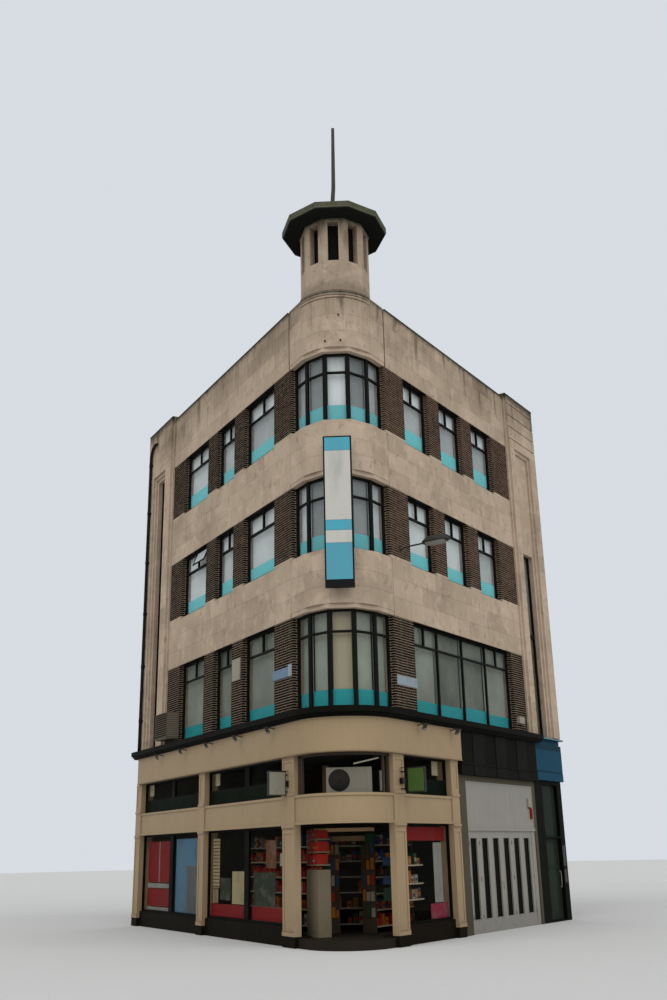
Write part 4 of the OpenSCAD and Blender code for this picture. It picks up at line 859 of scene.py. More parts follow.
class Windows(bpy.types.Operator):
    """Paints the window frames, and hangs blinds and films behind the glass"""

    bl_idname = "shop_building.windows"
    bl_label = "Windows"

    # How light the blinds are in the lower and upper lights of each window, by storey, outwards from the corner, and
    # in the five lights of the corner window. A row longer than the windows splits each of them. Beside each blind's
    # own shade of cloth these hold painted light: the upper lights are lightest for the sky they reflect, the first
    # floor's darkest for the shade of the street.
    LIGHTS = (
        {
            LEFT: ((0.22, 0.24), (0.18, 0.14), (0.26, 0.20)),
            RIGHT: ((0.30, 0.26), (0.08, 0.14), (0.12, 0.20), (0.30, 0.24)),
        },
        {LEFT: ((0.78, 1.00), (0.70, 1.00), (0.90, 1.00)), RIGHT: ((0.85, 1.00), (0.80, 1.00), (0.55, 1.00))},
        {LEFT: ((0.50, 1.00), (0.65, 1.00), (0.80, 0.95)), RIGHT: ((0.50, 1.00), (0.42, 1.00), (0.45, 1.00))},
    )
    CORNER_LIGHTS = ((0.30, 0.34, 0.62, 0.38, 0.30), (0.80, 0.24, 0.8, 0.26, 0.66), (0.44, 0.22, 0.95, 0.12, 0.42))
    # Height of the upper lights, and how far the blinds of the lower and the upper
    # lights and the films are behind the frames
    UPPER_LIGHT, LOW_BLIND, HIGH_BLIND, FILM = 0.52, 0.09, 0.07, 0.024
    # Height of the films by storey, as a share of the usual height
    FILMS, CORNER_FILMS = (1.1, 1.2, 1.45), (1.1, 1.1, 1.2)

    def execute(self, context):
        glazing, random = context.scene.shop_glazing, np.random.default_rng(11)
        black = paint("frame_black", (0.009, 0.009, 0.008), 0.4, 0.25)
        refinish(black, "first_floor_windows", "upper_windows", "corner_windows", "stair_windows")
        refinish(sky_glass(), "upper_glass", "corner_glass")
        blinds, films, dark, corner_blinds, corner_films, warm = (Batch() for _ in range(6))
        where = dark.where
        recess, back = where.set.recess, where.set.recess + where.set.frame_depth
        for level, (row, z) in enumerate(zip(where.windows, where.storeys)):
            split = z[1] - self.UPPER_LIGHT
            for side in (LEFT, RIGHT):
                # A thin dark strip on the stone under a window, sloping outwards
                slope = [(recess, z[0]), (-0.012, z[0]), (-0.012, z[0] + 0.006), (recess, z[0] + 0.03)]
                for s0, s1 in row[side]:
                    dark.strip(where.span(side, s0 + 0.003, s1 - 0.003), slope)
                tints = self.LIGHTS[level][side]
                parts = [np.linspace(*window, len(tints) // len(row[side]) + 1) for window in row[side]]
                parts = [pair for part in parts for pair in zip(part, part[1:])]
                for (s0, s1), (low, high) in zip(parts, tints):
                    span = where.span(side, s0 + 0.02, s1 - 0.02)
                    pleated_sheet(blinds, glazing, span, (z[0] + 0.03, split), back + self.LOW_BLIND, low)
                    pleated_sheet(blinds, glazing, span, (split, z[1] - 0.03), back + self.HIGH_BLIND, high)
                    foot = z[0] + glazing.film * self.FILMS[level] * random.uniform(0.92, 1.08)
                    depth = (back + self.FILM, back + self.FILM + 0.003)
                    # Tint 1 above the first floor and 0 on it: painted light and painted shade on the film
                    films.box(span, depth, (z[0] + 0.02, foot), 1.0 if level else 0.0)
            tints = self.CORNER_LIGHTS[level]
            targets = [warm if (level, i) == (0, 2) else corner_blinds for i in range(5)]
            self.corner(targets, back + self.LOW_BLIND, 0.008, (z[0] + 0.02, z[1] - 0.03), tints)
            top = z[0] + glazing.film * self.CORNER_FILMS[level]
            # The corner's films likewise: paler above the first floor as painted light, deep on it as painted shade
            self.corner([corner_films] * 5, back + 0.025, 0, (z[0] + 0.02, top), [0.6 if level else 0.0] * 5)
            for side in (LEFT, RIGHT):
                # A black strip under the stone's edge over the windows and piers: painted shadow where the stone
                # oversails, and over the windows also the soffit of the black steel lintel that carries the stone
                lintel_and_shadow = (0.004, recess - 0.0005, z[1] - 0.011, z[1] - 0.0005)
                dark.walls((side, where.set.bow + 0.002, where.bays[side] - 0.002, *lintel_and_shadow))
        pale = cloth("blind_cloth", glazing.blind, (0.035, 0.04, 0.036))
        blinds.piece("window_blinds", pale, "window_glass", smooth=True)
        corner_blinds.piece("corner_blinds", pale, "window_glass", smooth=True, bent=False)
        cream = cloth("cream_blind", (0.50, 0.41, 0.31), (0.17, 0.14, 0.10))
        warm.piece("lit_corner_blind", cream, "window_glass", smooth=True, bent=False)
        film = film_finish(glazing.film_colour)
        films.piece("window_films", film, "window_glass")
        corner_films.piece("corner_films", film, "window_glass", bent=False)
        dark.piece("lintels_shadow_and_sills", black, "black_frame")
        self.open_light(black)
        return {"FINISHED"}

    def corner(self, batches, y, wave, z, tints):
        """A sheet in each of the corner window's five lights, set between its posts and
        built straight in model coordinates, with three waves of a sine along it."""
        corners, t = batches[0].where.facets(y), np.linspace(0, 1, 9)[:, None]
        for batch, a, b, tint in zip(batches, corners, corners[1:], tints):
            run = (b - a) / np.linalg.norm(b - a)
            a, b = a + 0.03 * run, b - 0.03 * run
            line = a + (b - a) * t + wave * np.sin(2 * math.pi * 3 * t) * np.array([-run[1], run[0]])
            batch.sheet([np.insert(line, 2, level, axis=1) for level in z], tint)

    def open_light(self, finish):
        """The top light that stands open: a small frame whose points are turned
        outwards about its head."""
        light, pane = Batch(), Batch()
        where = light.where
        s0, s1 = where.windows[1][LEFT][2]
        head, y = where.storeys[1][1] - 0.055, where.set.recess
        u0, u1 = where.span(LEFT, s0 + 0.06, (s0 + s1) / 2 - 0.03)
        tall, bar, lean = 0.47, 0.045, math.radians(22)
        opening = (u0 + bar, u1 - bar), (head - tall + bar, head - bar)
        light.border(*opening, bar, (y - 0.04, y))
        pane.box(opening[0], (y - 0.026, y - 0.020), opening[1])
        for batch in (light, pane):
            for points in batch.points:
                drop = head - points[:, 2]
                points[:, 1] -= drop * math.sin(lean)
                points[:, 2] = head - drop * math.cos(lean)
        light.piece("open_top_light", finish, "black_frame")
        # The tilted pane is pale and half opaque: a painted reflection of the sky
        pane.piece("open_top_light_pane", glass("open_pane", (0.55, 0.62, 0.64), 0.6), "window_glass")


# Shopfront


def moulding(batch, span, y, z, size):
    """A painted moulding: a quarter round over a square fillet, carried along the wall.
    y is the face that it stands on and size its height and projection."""
    turn = np.linspace(0, math.pi / 2, 5)[1:]
    curve = np.stack([y - size * (0.35 + 0.65 * np.sin(turn)), z + size * (0.3 + 0.7 * (1 - np.cos(turn)))], 1)
    batch.strip(span, [(y + 0.002, z), (y - size * 0.35, z), *curve.tolist(), (y + 0.002, z + size)])


class Shopfront(bpy.types.Operator):
    """Paints the shopfront and gives it its mouldings, beads, posters and curtains"""

    bl_idname = "shop_building.shopfront"
    bl_label = "Shopfront"

    # The pilasters: side, start and width
    PILASTERS = (
        (LEFT, 2.16, 0.61), (LEFT, 7.52, 0.40), (LEFT, 12.65, 0.45), (RIGHT, 1.94, 0.48), (RIGHT, 4.72, 0.38),
    )
    # Tints of the boards
    RED, PALE, SKY, CREAM, BROWN, GREEN, PINK = 0.03, 0.17, 0.32, 0.46, 0.60, 0.75, 0.93
    # Plain boards behind the shop windows: side, start, end, foot, head and tint
    BOARDS = (
        (LEFT, 11.50, 12.36, 1.28, 2.46, RED), (LEFT, 10.56, 11.40, 1.28, 2.46, RED),
        (LEFT, 10.52, 12.40, 1.12, 1.25, PALE), (LEFT, 10.52, 12.40, 0.60, 1.10, RED),
        (LEFT, 10.52, 12.40, 0.49, 0.58, PALE), (LEFT, 11.42, 11.48, 1.28, 2.46, PALE),
        (LEFT, 8.16, 10.08, 0.49, 2.50, SKY), (LEFT, 8.55, 9.25, 0.52, 1.75, PALE),
        (LEFT, 5.24, 7.44, 0.49, 0.80, RED), (LEFT, 2.86, 4.90, 0.49, 0.80, RED),
        (LEFT, 6.92, 7.36, 1.20, 2.45, CREAM), (LEFT, 6.98, 7.36, 0.82, 1.18, BROWN),
        (LEFT, 5.36, 6.10, 0.82, 1.62, CREAM), (LEFT, 6.20, 6.85, 0.90, 1.45, GREEN),
        (LEFT, 3.60, 4.80, 0.82, 1.60, GREEN), (LEFT, 2.90, 3.35, 1.75, 2.05, PALE),
        (LEFT, 3.55, 4.10, 1.70, 2.35, BROWN), (RIGHT, 2.50, 4.60, 2.27, 2.59, RED),
        (RIGHT, 4.02, 4.42, 0.84, 2.22, PALE), (RIGHT, 3.80, 4.62, 0.46, 0.82, PINK),
        (RIGHT, 2.50, 2.78, 1.88, 2.10, PALE),
    )
    # Curtains in the top lights: side, start, end and foot
    CURTAINS = ((LEFT, 12.18, 12.52, 3.85), (LEFT, 7.02, 7.36, 3.86), (RIGHT, 4.18, 4.50, 3.84))

    def execute(self, context):
        cream = paint("cream_gloss", context.scene.shop_front.cream, 0.42, 0.30)
        refinish(cream, "shop_fascia", "lower_fascia", "pilasters")
        for node, *values in (
            ("shop_ledge", "ledge_black", (0.0058, 0.0056, 0.0040), 0.5, 0.3, (0.018, 0.016, 0.012)),
            ("plinth", "riser_black", (0.0055, 0.0042, 0.0024), 0.5, 0.5, (0.014, 0.010, 0.006)),
            ("top_light_panels", "panel_green", (0.0022, 0.0055, 0.0016), 0.5, 0.2, (0.003, 0.004, 0.002)),
            ("shop_window_frames", "shop_frame_black", (0.0045, 0.0048, 0.0035), 0.5, 0.3),
            ("shutter_box", "shutter_grey", (0.06, 0.055, 0.045), 0.5, 0.4),
        ):
            refinish(paint(*values), node)
        refinish(glass("plate_glass", (0.04, 0.046, 0.038), 0.03, 0.05, 0.03), "shop_glass")
        batch, curtains = Batch(), Batch()
        fascia = (batch.where.u(LEFT, 12.90), batch.where.u(RIGHT, 5.25))
        moulding(batch, fascia, -0.15, 4.236, 0.022)
        moulding(batch, fascia, -0.15, 4.995, 0.030)
        for pilaster in self.PILASTERS:
            self.pilaster(batch, *pilaster)
        batch.piece("shopfront_mouldings", cream, "cream_paint")
        self.posters()
        for side, s0, s1, foot in self.CURTAINS:
            span = batch.where.span(side, s0, s1)
            pleated_sheet(curtains, context.scene.shop_glazing, span, (foot, 4.19), 0.17, 0.7)
        warm = cloth("curtain_cloth", (0.50, 0.42, 0.30), (0.2, 0.16, 0.1))
        curtains.piece("top_light_curtains", warm, "poster_board", smooth=True)
        return {"FINISHED"}

    def pilaster(self, batch, side, s, w, face=-0.09):
        """The mouldings of a pilaster: a stepped foot, a small cap under each of its
        two stretches, and round studs at the ends of its strips."""
        batch.walls((side, s + 0.003, s + w - 0.003, face - 0.022, face + 0.002, 0.241, 0.33))
        for z, size in ((0.33, 0.020), (2.56, 0.022), (4.16, 0.022)):
            moulding(batch, batch.where.span(side, s + 0.003, s + w - 0.003), face, z, size)
        for z in (0.50, 1.50, 2.48, 3.46, 4.06):
            for u in (batch.where.u(side, s + 0.035), batch.where.u(side, s + w - 0.035)):
                batch.tube([[u, face + 0.001, z], [u, face - 0.008, z]], 0.011, 8)

    def posters(self):
        """The boards, and thin stripes on two of them."""
        batch, stripes = Batch(), Batch()
        batch.walls(*((side, s0, s1, 0.1445, 0.152, *rest) for side, s0, s1, *rest in self.BOARDS))
        near = (0.1435, 0.1445)
        for z in 1.22 + 0.088 * np.arange(14):
            stripes.walls((LEFT, 6.92, 7.36, *near, z, z + 0.030, self.BROWN))
        for s in 7.00 + 0.09 * np.arange(4):
            stripes.walls((LEFT, s, s + 0.045, *near, 0.83, 1.17, self.CREAM))
        f = Finish("poster_card", Roughness=0.55)
        body = f.by_tint(
            (0.17, 0.008, 0.008), ((0.22, 0.215, 0.19), 0.10), ((0.075, 0.155, 0.225), 0.25),
            ((0.30, 0.255, 0.14), 0.40), ((0.10, 0.040, 0.013), 0.53), ((0.022, 0.030, 0.019), 0.68),
            ((0.22, 0.020, 0.045), 0.85),
        )
        patch = f.step(f.noise(0.22, 2.0), 0.50, 0.62) * (f.tint() > 0.55) * 0.3
        body = f.patches(f.mix(body, (0.16, 0.14, 0.11), patch), (0.03, 0.025, 0.02), (0.5, 3.0), 0.45, 0.8, 0.35)
        card = f.done(body, f.noise(0.1, 2.0), 0.002, 0.3)
        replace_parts(batch.piece("window_boards", card, "poster_board"), "poster_panels")
        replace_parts(stripes.piece("board_stripes", card, "poster_board"), "poster_panels")


class Interior(bpy.types.Operator):
    """Finishes the floors, roof and shelving, and puts plain packs on the shelves"""

    bl_idname = "shop_building.interior"
    bl_label = "Shop interior"

    # Top of the lowest shelf, and the height from shelf to shelf
    LOWEST, APART = 0.35, 0.37
    # The entrance's packs and their labels: near, far, foot, head and range of tints
    PACK_AND_LABEL = ((0.47, 0.75, 0.0, 0.21, 0.0, 0.17), (0.467, 0.47, 0.06, 0.10, 0.10, 0.62))

    def execute(self, context):
        refinish(plaster("floor_concrete", (0.14, 0.135, 0.125)), "upper_floors", "shop_beam")
        refinish(plaster("floor_tile", (0.018, 0.014, 0.010), 0.3, 0.6), "shop_floor")
        refinish(plaster("roof_felt_grey", (0.07, 0.07, 0.068), 0.8, 0.95), "roof_deck")
        refinish(paint("shelf_brown", (0.050, 0.036, 0.024), 0.5, 0.3), "shop_shelves")
        random, packs = np.random.default_rng(5), context.scene.shop_front.packs
        batch, edges, middle, front = (Batch() for _ in range(4))
        span, levels = batch.where.span, self.LOWEST + self.APART * np.arange(6)
        self.shelves(batch, edges, span(LEFT, 3.03, 7.17), 1.20, levels, packs, random)
        self.shelves(batch, edges, span(RIGHT, 3.03, 4.75), 1.20, levels, packs, random)
        self.shelves(batch, edges, span(RIGHT, 2.60, 3.95), 0.42, (0.94, 1.30, 1.72), packs, random)
        batch.piece("shelf_packs", pack_finish(), "poster_board")
        shares = (0.5, 0.35, 0.3, 0.45, 0.95, 0.95)
        self.shelves(middle, front, (-0.84, 0.55), 2.30, levels, packs, random, shares)
        pale = paint("shelf_edge_white", (0.32, 0.28, 0.20), 0.5, 0.3)
        middle.piece("middle_shelf_packs", pack_finish(), "poster_board", bent=False)
        edges.piece("shelf_edges", pale, "shelf_wood")
        front.piece("middle_shelf_edges", pale, "shelf_wood", bent=False)
        self.entrance()
        return {"FINISHED"}

    def shelves(self, batch, edges, span, y, levels, packs, random, shares=(0.92,) * 6):
        """A row of packs on each shelf, with the shelf's pale edge: boxes of random
        widths and heights, a little apart, each with a label. A share of the places on
        a shelf is taken."""
        width = 1.0 / packs
        for z, share in zip(levels, shares):
            starts = np.arange(span[0], span[1] - width, width)
            starts = starts[random.uniform(0, 1, len(starts)) < share]
            n = len(starts)
            widths, tall = width * random.uniform(0.75, 0.97, n), random.uniform(0.14, 0.29, n)
            kind = random.uniform(0, 1)
            low = xyz(starts, y + 0.002 + random.uniform(0.0, 0.05, n), z)
            high = xyz(starts + widths, y + 0.30, z + tall)
            batch.boxes(low, high, np.clip(kind + random.normal(0, 0.15, n), 0, 1))
            size = high - low
            label = low + size * [0.12, 0.0, 0.25] - [0.0, 0.0015, 0.0]
            batch.boxes(label, low + size * [0.88, 0.0, 0.62] + [0.0, 0.0005, 0.0], random.uniform(0, 1, n))
            edges.box(span, (y - 0.008, y - 0.0005), (z - 0.032, z + 0.002))

    def entrance(self):
        """What shows inside the entrance: a cream cupboard with rows of red packs over
        it, a tan rail and a pale strip under the ceiling."""
        cream, packs, rail = Batch(), Batch(), Batch()
        random, u = np.random.default_rng(9), (-1.97, -1.42)
        cream.box(u, (0.46, 0.80), (0.202, 1.66))
        cream.box((u[0] + 0.03, u[1] - 0.03), (0.452, 0.4605), (0.30, 1.60))
        places = np.arange(u[0] + 0.01, u[1] - 0.11, 0.134)
        n = len(places)
        for z in 1.78 + 0.285 * np.arange(3):
            cream.box(u, (0.46, 0.80), (z - 0.03, z))
            for y0, y1, foot, head, *tints in self.PACK_AND_LABEL:
                high = xyz(places + 0.114, y1, z + head + random.uniform(-0.03, 0.03, n))
                packs.boxes(xyz(places, y0, z + foot), high, random.uniform(*tints, n))
        rail.box((-0.84, 0.55), (1.90, 1.96), (2.30, 2.42))
        rail.box((-0.80, 0.62), (0.10, 0.16), (2.50, 2.58))
        for side, i in np.ndindex(2, 15):
            side = (LEFT, RIGHT)[side]
            u, y, z = packs.where.u(side, 3.0), 1.225 + 0.125 * (i % 3), 0.55 + 0.36 * (i // 3)
            far, tall = u - side * random.uniform(0.02, 0.04), random.uniform(0.16, 0.28)
            packs.box((u, far), (y, y + random.uniform(0.07, 0.11)), (z, z + tall), random.uniform(0.15, 1))
        cream.piece("entrance_cupboard", paint("cupboard_cream", (0.17, 0.14, 0.092), 0.5), "shelf_wood")
        packs.piece("entrance_packs", pack_finish(), "poster_board")
        rail.piece("ceiling_rails", paint("rail_tan", (0.32, 0.21, 0.11), 0.5), "shelf_wood", bent=False)


class SecondUnit(bpy.types.Operator):
    """Paints the charcoal fascia, the blue panel and the white doors, and fits their
    beads, hinges, plates and the street door's furniture"""

    bl_idname = "shop_building.second_unit"
    bl_label = "White doors and street door"

    # The folding doors: where their six panes start and end, and the width of a pane
    FIRST, LAST, PANE = 5.80, 9.355, 0.35
    PITCH = (LAST - FIRST - PANE) / 5
    # Linings round the doors and the board over them: start, end, face, back, foot, head
    LININGS = (
        (5.645, 9.735, -0.006, 0.042, 2.505, 2.580), (5.645, 5.705, 0.026, 0.042, 0.004, 2.505),
        (9.52, 9.735, 0.026, 0.042, 0.004, 2.505), (5.645, 9.735, 0.008, 0.021, 3.725, 3.757),
        (5.645, 5.675, 0.010, 0.021, 2.58, 3.725), (9.705, 9.735, 0.010, 0.021, 2.58, 3.725),
    )
    # The charcoal fascia: start, end and number of its upright boards
    FASCIA, UPRIGHTS = (5.25, 9.94), 7
    # Strips of the blue panel: near, far, foot, head and tint; the tint is lower on the set-back strips, painted shade
    # in the recesses
    BLUE = (
        (-0.121, -0.109, 3.965, 4.19, 1.0), (-0.112, -0.109, 4.19, 4.24, 0.0), (-0.116, -0.109, 4.24, 4.86, 0.9),
        (-0.113, -0.109, 4.86, 5.02, 0.2),
    )
    # The sheet edge over the blue panel, as a profile
    FLASHING = ((-0.212, 5.222), (-0.212, 5.176), (-0.209, 5.176), (-0.209, 5.219), (-0.001, 5.232), (-0.001, 5.235))
    # Bare plates on the brick: side, start, end, foot, head, thickness and tint
    PLATES = (
        (LEFT, 5.40, 5.92, 6.55, 7.15, 0.03, 1.0), (LEFT, 2.60, 3.44, 6.20, 6.45, 0.015, 0.1),
        (LEFT, 2.40, 2.59, 6.20, 6.50, 0.015, 0.6), (RIGHT, 2.42, 3.38, 5.92, 6.16, 0.015, 0.45),
        (RIGHT, 9.08, 9.42, 5.53, 5.73, 0.10, 1.0),
    )

    def execute(self, context):
        shop = context.scene.shop_front
        white = paint("white_gloss", shop.white, 0.42, 0.45, foot=1.0)
        refinish(white, "white_board", "folding_doors")
        for node, *values in (
            ("charcoal_fascia", "charcoal_flat", shop.charcoal, 0.6, 0.3),
            ("blue_panel", "blue_gloss", shop.blue, 0.35, 0.2),
            ("doors_surround", "surround_grey", (0.080, 0.068, 0.046), 0.5, 0.4),
            ("street_door_frame", "door_black", (0.0042, 0.0048, 0.0030), 0.5, 0.3),
            ("street_door", "leaf_grey", (0.018, 0.023, 0.017), 0.4, 0.2),
        ):
            refinish(paint(*values), node)
        self.boards(shop)
        panes, beads, iron = Batch(), Batch(), Batch()
        for s in self.FIRST + self.PITCH * np.arange(6):
            panes.walls((RIGHT, s + 0.001, s + self.PANE - 0.001, 0.071, 0.0755, 0.341, 2.319))
            # A thin beading, a little proud of the rails
            beads.border(beads.where.span(RIGHT, s, s + self.PANE), (0.34, 2.32), 0.018, (0.034, 0.041))
        for s in (5.72, self.FIRST + self.PITCH - 0.16, self.FIRST + 4 * self.PITCH - 0.16, 9.49):
            u = iron.where.u(RIGHT, s + 0.014)
            for z in (0.35, 1.25, 2.15):
                iron.tube([[u, 0.03, z], [u, 0.03, z + 0.10]], 0.011, 10)
        lock = self.FIRST + 3 * self.PITCH - 0.17
        iron.walls((RIGHT, lock, lock + 0.035, 0.030, 0.041, 1.02, 1.20))
        beads.walls(*((RIGHT, *row) for row in self.LININGS))
        # The panes are near-black and nearly opaque: painted shade for the dark inside behind the folding doors
        panes.piece("folding_door_panes", glass("door_panes", (0.0030, 0.0034, 0.0016), 0.98, 0.2), "shop_glass")
        beads.piece("folding_door_beads", white, "white_paint")
        metal = paint("ironmongery", (0.22, 0.21, 0.20), 0.35, 0.3)
        iron.piece("folding_door_hinges", metal, "lamp_metal", smooth=True)
        self.street_door(metal)
        self.plates()
        return {"FINISHED"}

    def boards(self, shop):
        """The fascia's upright boards, alternately a little proud, with the ledge across their foot, and the strips
        and sheet edge of the blue panel. The proud boards are painted lighter and the others darker: painted light and
        shade on the folded fascia."""
        batch, blue, sheet = Batch(), Batch(), Batch()
        start, end = self.FASCIA
        width = (end - start) / self.UPRIGHTS
        for i in range(self.UPRIGHTS):
            s, out = start + i * width, -0.134 - 0.014 * (i % 2)
            # The proud boards take high tints and the set-back ones low: painted light and shade
            for face, foot, head, tints in ((out, 4.20, 5.025, (0.35, 1.0)), (out - 0.004, 3.905, 4.17, (0.55, 0.8))):
                batch.walls((RIGHT, s + 0.008, s + width - 0.008, face, -0.129, foot, head, tints[i % 2]))
        batch.walls((RIGHT, start + 0.002, end - 0.002, -0.165, -0.129, 4.17, 4.20, 0.9))
        blue.walls(*((RIGHT, 9.945, 11.855, *row) for row in self.BLUE))
        sheet.strip(sheet.where.span(RIGHT, 9.97, 11.86), self.FLASHING)
        dark = paint("board_charcoal", shade(shop.charcoal, 1.25), 0.6, 0.3, tinted=True)
        batch.piece("fascia_boards", dark, "charcoal_paint")
        blue.piece("blue_boards", paint("board_blue", shop.blue, 0.35, 0.2, tinted=True), "blue_paint")
        sheet.piece("blue_flashing", paint("flashing_teal", (0.10, 0.20, 0.22), 0.5, 0.5), "blue_paint")

    def street_door(self, metal):
        """Panes and a pull handle on the moving leaf, the fan light's pane over it and
        the bell plates beside it."""
        panes, fan, handle, bells = Batch(), Batch(), Batch(), Batch()
        for z in ((0.269, 1.464), (1.536, 2.189)):
            for y in (0.1365, 0.1515):
                panes.walls((RIGHT, 10.569, 11.431, y, y + 0.002, *z))
        fan.walls((RIGHT, 10.452, 11.548, 0.112, 0.119, 2.370, 3.848))
        u = handle.where.u(RIGHT, 11.48)
        grip = ((0.12, 0.95), (0.07, 0.95), (0.07, 1.35), (0.12, 1.35))
        handle.tube(smooth_path([[u, y, z] for y, z in grip]), 0.012, 10)
        for z0, z1 in ((1.05, 1.42), (1.52, 2.10)):
            bells.walls((RIGHT, 11.58, 11.76, -0.012, 0.0, z0, z1))
            for z in z0 + (np.arange(4) + 0.35) * (z1 - z0) / 4:
                bells.walls((RIGHT, 11.655, 11.685, -0.016, -0.012, z, z + 0.3 * (z1 - z0) / 4))
        # The leaf's and the fan light's panes are dark and nearly opaque: painted shade for the dark inside behind
        # them
        leaf = glass("leaf_panes", (0.022, 0.031, 0.022), 0.86)
        panes.piece("street_door_panes", leaf, "shop_glass", body=LEAF)
        fan.piece("fan_light_pane", glass("fan_pane", (0.018, 0.025, 0.018), 0.94), "shop_glass")
        handle.piece("street_door_handle", metal, "lamp_metal", smooth=True, body=LEAF)
        bells.piece("bell_plates", paint("bell_metal", (0.060, 0.058, 0.053), 0.4, 0.3), "lamp_metal")

    def plates(self):
        """A pale plaque, two street plates and small boxes, each with a raised face, a
        pale box and the two parts of the red one."""
        batch, red, rim = Batch(), Batch(), 0.02
        span = batch.where.span
        for side, s0, s1, z0, z1, out, tint in self.PLATES:
            u = span(side, s0, s1)
            batch.stone(u, (z0, z1), -out, 0.006, 0.0, tint)
            batch.box((u[0] + rim, u[1] - rim), (-out - 0.002, -out + 0.001), (z0 + rim, z1 - rim), tint)
        batch.stone(span(RIGHT, 9.36, 9.56), (3.16, 3.40), -0.05, 0.02, 0.02, 1.0)
        tones = (0.15, 0.22, 0.31), ((0.27, 0.33, 0.36), 0.2, 0.5), ((0.29, 0.265, 0.21), 0.8, 0.95)
        dirt = (0.12, 0.10, 0.09), (0.2, 4.0), 0.50, 0.8, 0.5
        batch.piece("wall_plates", printed("plate_enamel", 0.4, tones, dirt, (0.05, 3.0)), "white_paint")
        red.stone(span(RIGHT, 9.50, 9.60), (2.84, 3.13), -0.03, 0.012, 0.02, 0.5)
        red.stone(span(RIGHT, 9.40, 9.60), (3.135, 3.15), -0.012, 0.004, 0.02, 0.5)
        red.piece("alarm_box", paint("alarm_red", (0.22, 0.012, 0.016), 0.4), "white_paint")


class Fittings(bpy.types.Operator):
    """Makes the corner sign, the hanging signs, lamps, rainwater pipe, vent box and
    the cooling unit over the entrance"""

    bl_idname = "shop_building.fittings"
    bl_label = "Signs, lamps and pipe"

    # Edges of the sign's panels, as shares of its height, and their tints
    PANELS, PANEL_TINTS = (0.045, 0.281, 0.363, 0.431, 0.90, 0.992), (0.0, 0.95, 0.5, 0.95, 0.5)
    # The hanging signs: side, place, width, gap to the pilaster and tint of the face
    HANGING = ((LEFT, 2.50, 0.46, 0.06, 1.0), (RIGHT, 2.27, 0.47, 0.20, 0.0))
    # The floodlights: places on the right front, and a hood's place in the depth,
    # height and half width at three places
    RIGHT_LIGHTS = (3.05, 4.70)
    HOOD = ((-0.345, 4.88, 0.09), (-0.40, 5.00, 0.09), (-0.445, 4.99, 0.075))

    # The rainwater pipe: place, place of its turn, depth, radius and heights of its ears
    PIPE, PIPE_TURN, PIPE_OUT, PIPE_RADIUS = 12.75, 12.30, -0.195, 0.049
    EARS = (6.2, 8.0, 9.8, 11.6, 13.4, 15.2)
    # The vent box: width, foot, head, projection and thickness of its sheet
    VENT = (1.0, 5.41, 6.20, -0.40, 0.03)

    def execute(self, context):
        self.sign()
        self.hanging()
        self.lamps()
        self.pipe()
        self.vent()
        self.cooling()
        self.top_frame()
        return {"FINISHED"}

    def sign(self):
        """The upright sign: a black case with rounded upright edges and five bare
        panels of light blue, white and blue on its front."""
        low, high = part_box("corner_sign")
        case, panels = Batch(), Batch()
        x, front, back, r, tall = high.x, low.y, low.y + 0.18, 0.03, high.z - low.z
        turn = np.linspace(0, math.pi / 2, 5)
        quarter = np.stack([np.cos(turn), np.sin(turn)], 1) * r
        corners = ((1, back - r, 1), (-1, back - r, -1), (-1, front + r, 1), (1, front + r, -1))
        ring = np.concatenate([
            [sx * (x - r), y] + quarter[::flip] * [sx, 1 if y > front + r else -1] for sx, y, flip in corners
        ])
        case.rings([np.insert(ring[::-1], 2, z, axis=1) for z in (low.z, high.z)])
        for dx in (-0.216, 0.216):
            for z in (low.z + 0.25, high.z - 0.30):
                case.box((dx - 0.02, dx + 0.02), (back - 0.01, -1.088), (z, z + 0.05))
                case.box((dx - 0.05, dx + 0.05), (-1.10, -1.075), (z - 0.04, z + 0.09))
        for a, b, tint in zip(self.PANELS, self.PANELS[1:], self.PANEL_TINTS):
            z = (low.z + a * tall, low.z + b * tall - 0.006)
            panels.box((0.04 - x, x - 0.04), (front - 0.004, front + 0.01), z, tint)
        black = paint("sign_case_black", (0.012, 0.012, 0.013), 0.35, 0.2)
        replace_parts(case.piece("sign_case", black, "sign_plastic", bent=False), "corner_sign")
        tones = (0.090, 0.325, 0.420), ((0.08, 0.36, 0.47), 0.2, 0.5), ((0.52, 0.51, 0.47), 0.6, 0.9)
        dirt = (0.16, 0.17, 0.16), (0.4, 4.0, 0.3), 0.5, 0.8, 0.3
        face = printed("sign_panel", 0.3, tones, dirt, (0.3, 2.0), 0.002, 0.2)
        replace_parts(panels.piece("sign_panels", face, "sign_plastic", bent=False), "corner_sign")

    def hanging(self):
        """The small signs that stand out from the corner pilasters: thin cases with a
        pale face and a green face, both bare, each on two short arms."""
        batch, z0, z1 = Batch(), 3.34, 3.90
        for side, s, wide, gap, tint in self.HANGING:
            y0 = -0.09 - gap - wide
            batch.walls((side, s - 0.04, s + 0.04, y0, y0 + wide, z0, z1))
            for a in (s - 0.042, s + 0.040):
                batch.walls((side, a, a + 0.002, y0 + 0.02, y0 + wide - 0.02, z0 + 0.02, z1 - 0.02, tint))
            for z in (z0 + 0.07, z1 - 0.10):
                batch.walls((side, s - 0.012, s + 0.012, -0.092 - gap, -0.088, z, z + 0.03))
            batch.walls((side, s - 0.06, s + 0.06, -0.17, -0.0895, z0 + 0.20, z0 + 0.34))
            batch.walls((side, s - 0.05, s + 0.05, y0 + 0.02, -0.10, z1, z1 + 0.012))
        tones = (0.044, 0.088, 0.011), ((0.004, 0.004, 0.004), 0.3, 0.35), ((0.235, 0.225, 0.17), 0.7, 0.75)
        dirt = (0.10, 0.09, 0.08), (0.1, 3.0), 0.5, 0.8, 0.3
        face = printed("hanging_face", 0.35, tones, dirt, (0.1, 2.0), strength=0.2, Specular_IOR_Level=0.2)
        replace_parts(batch.piece("hanging_boards", face, "sign_plastic"), "hanging_signs")

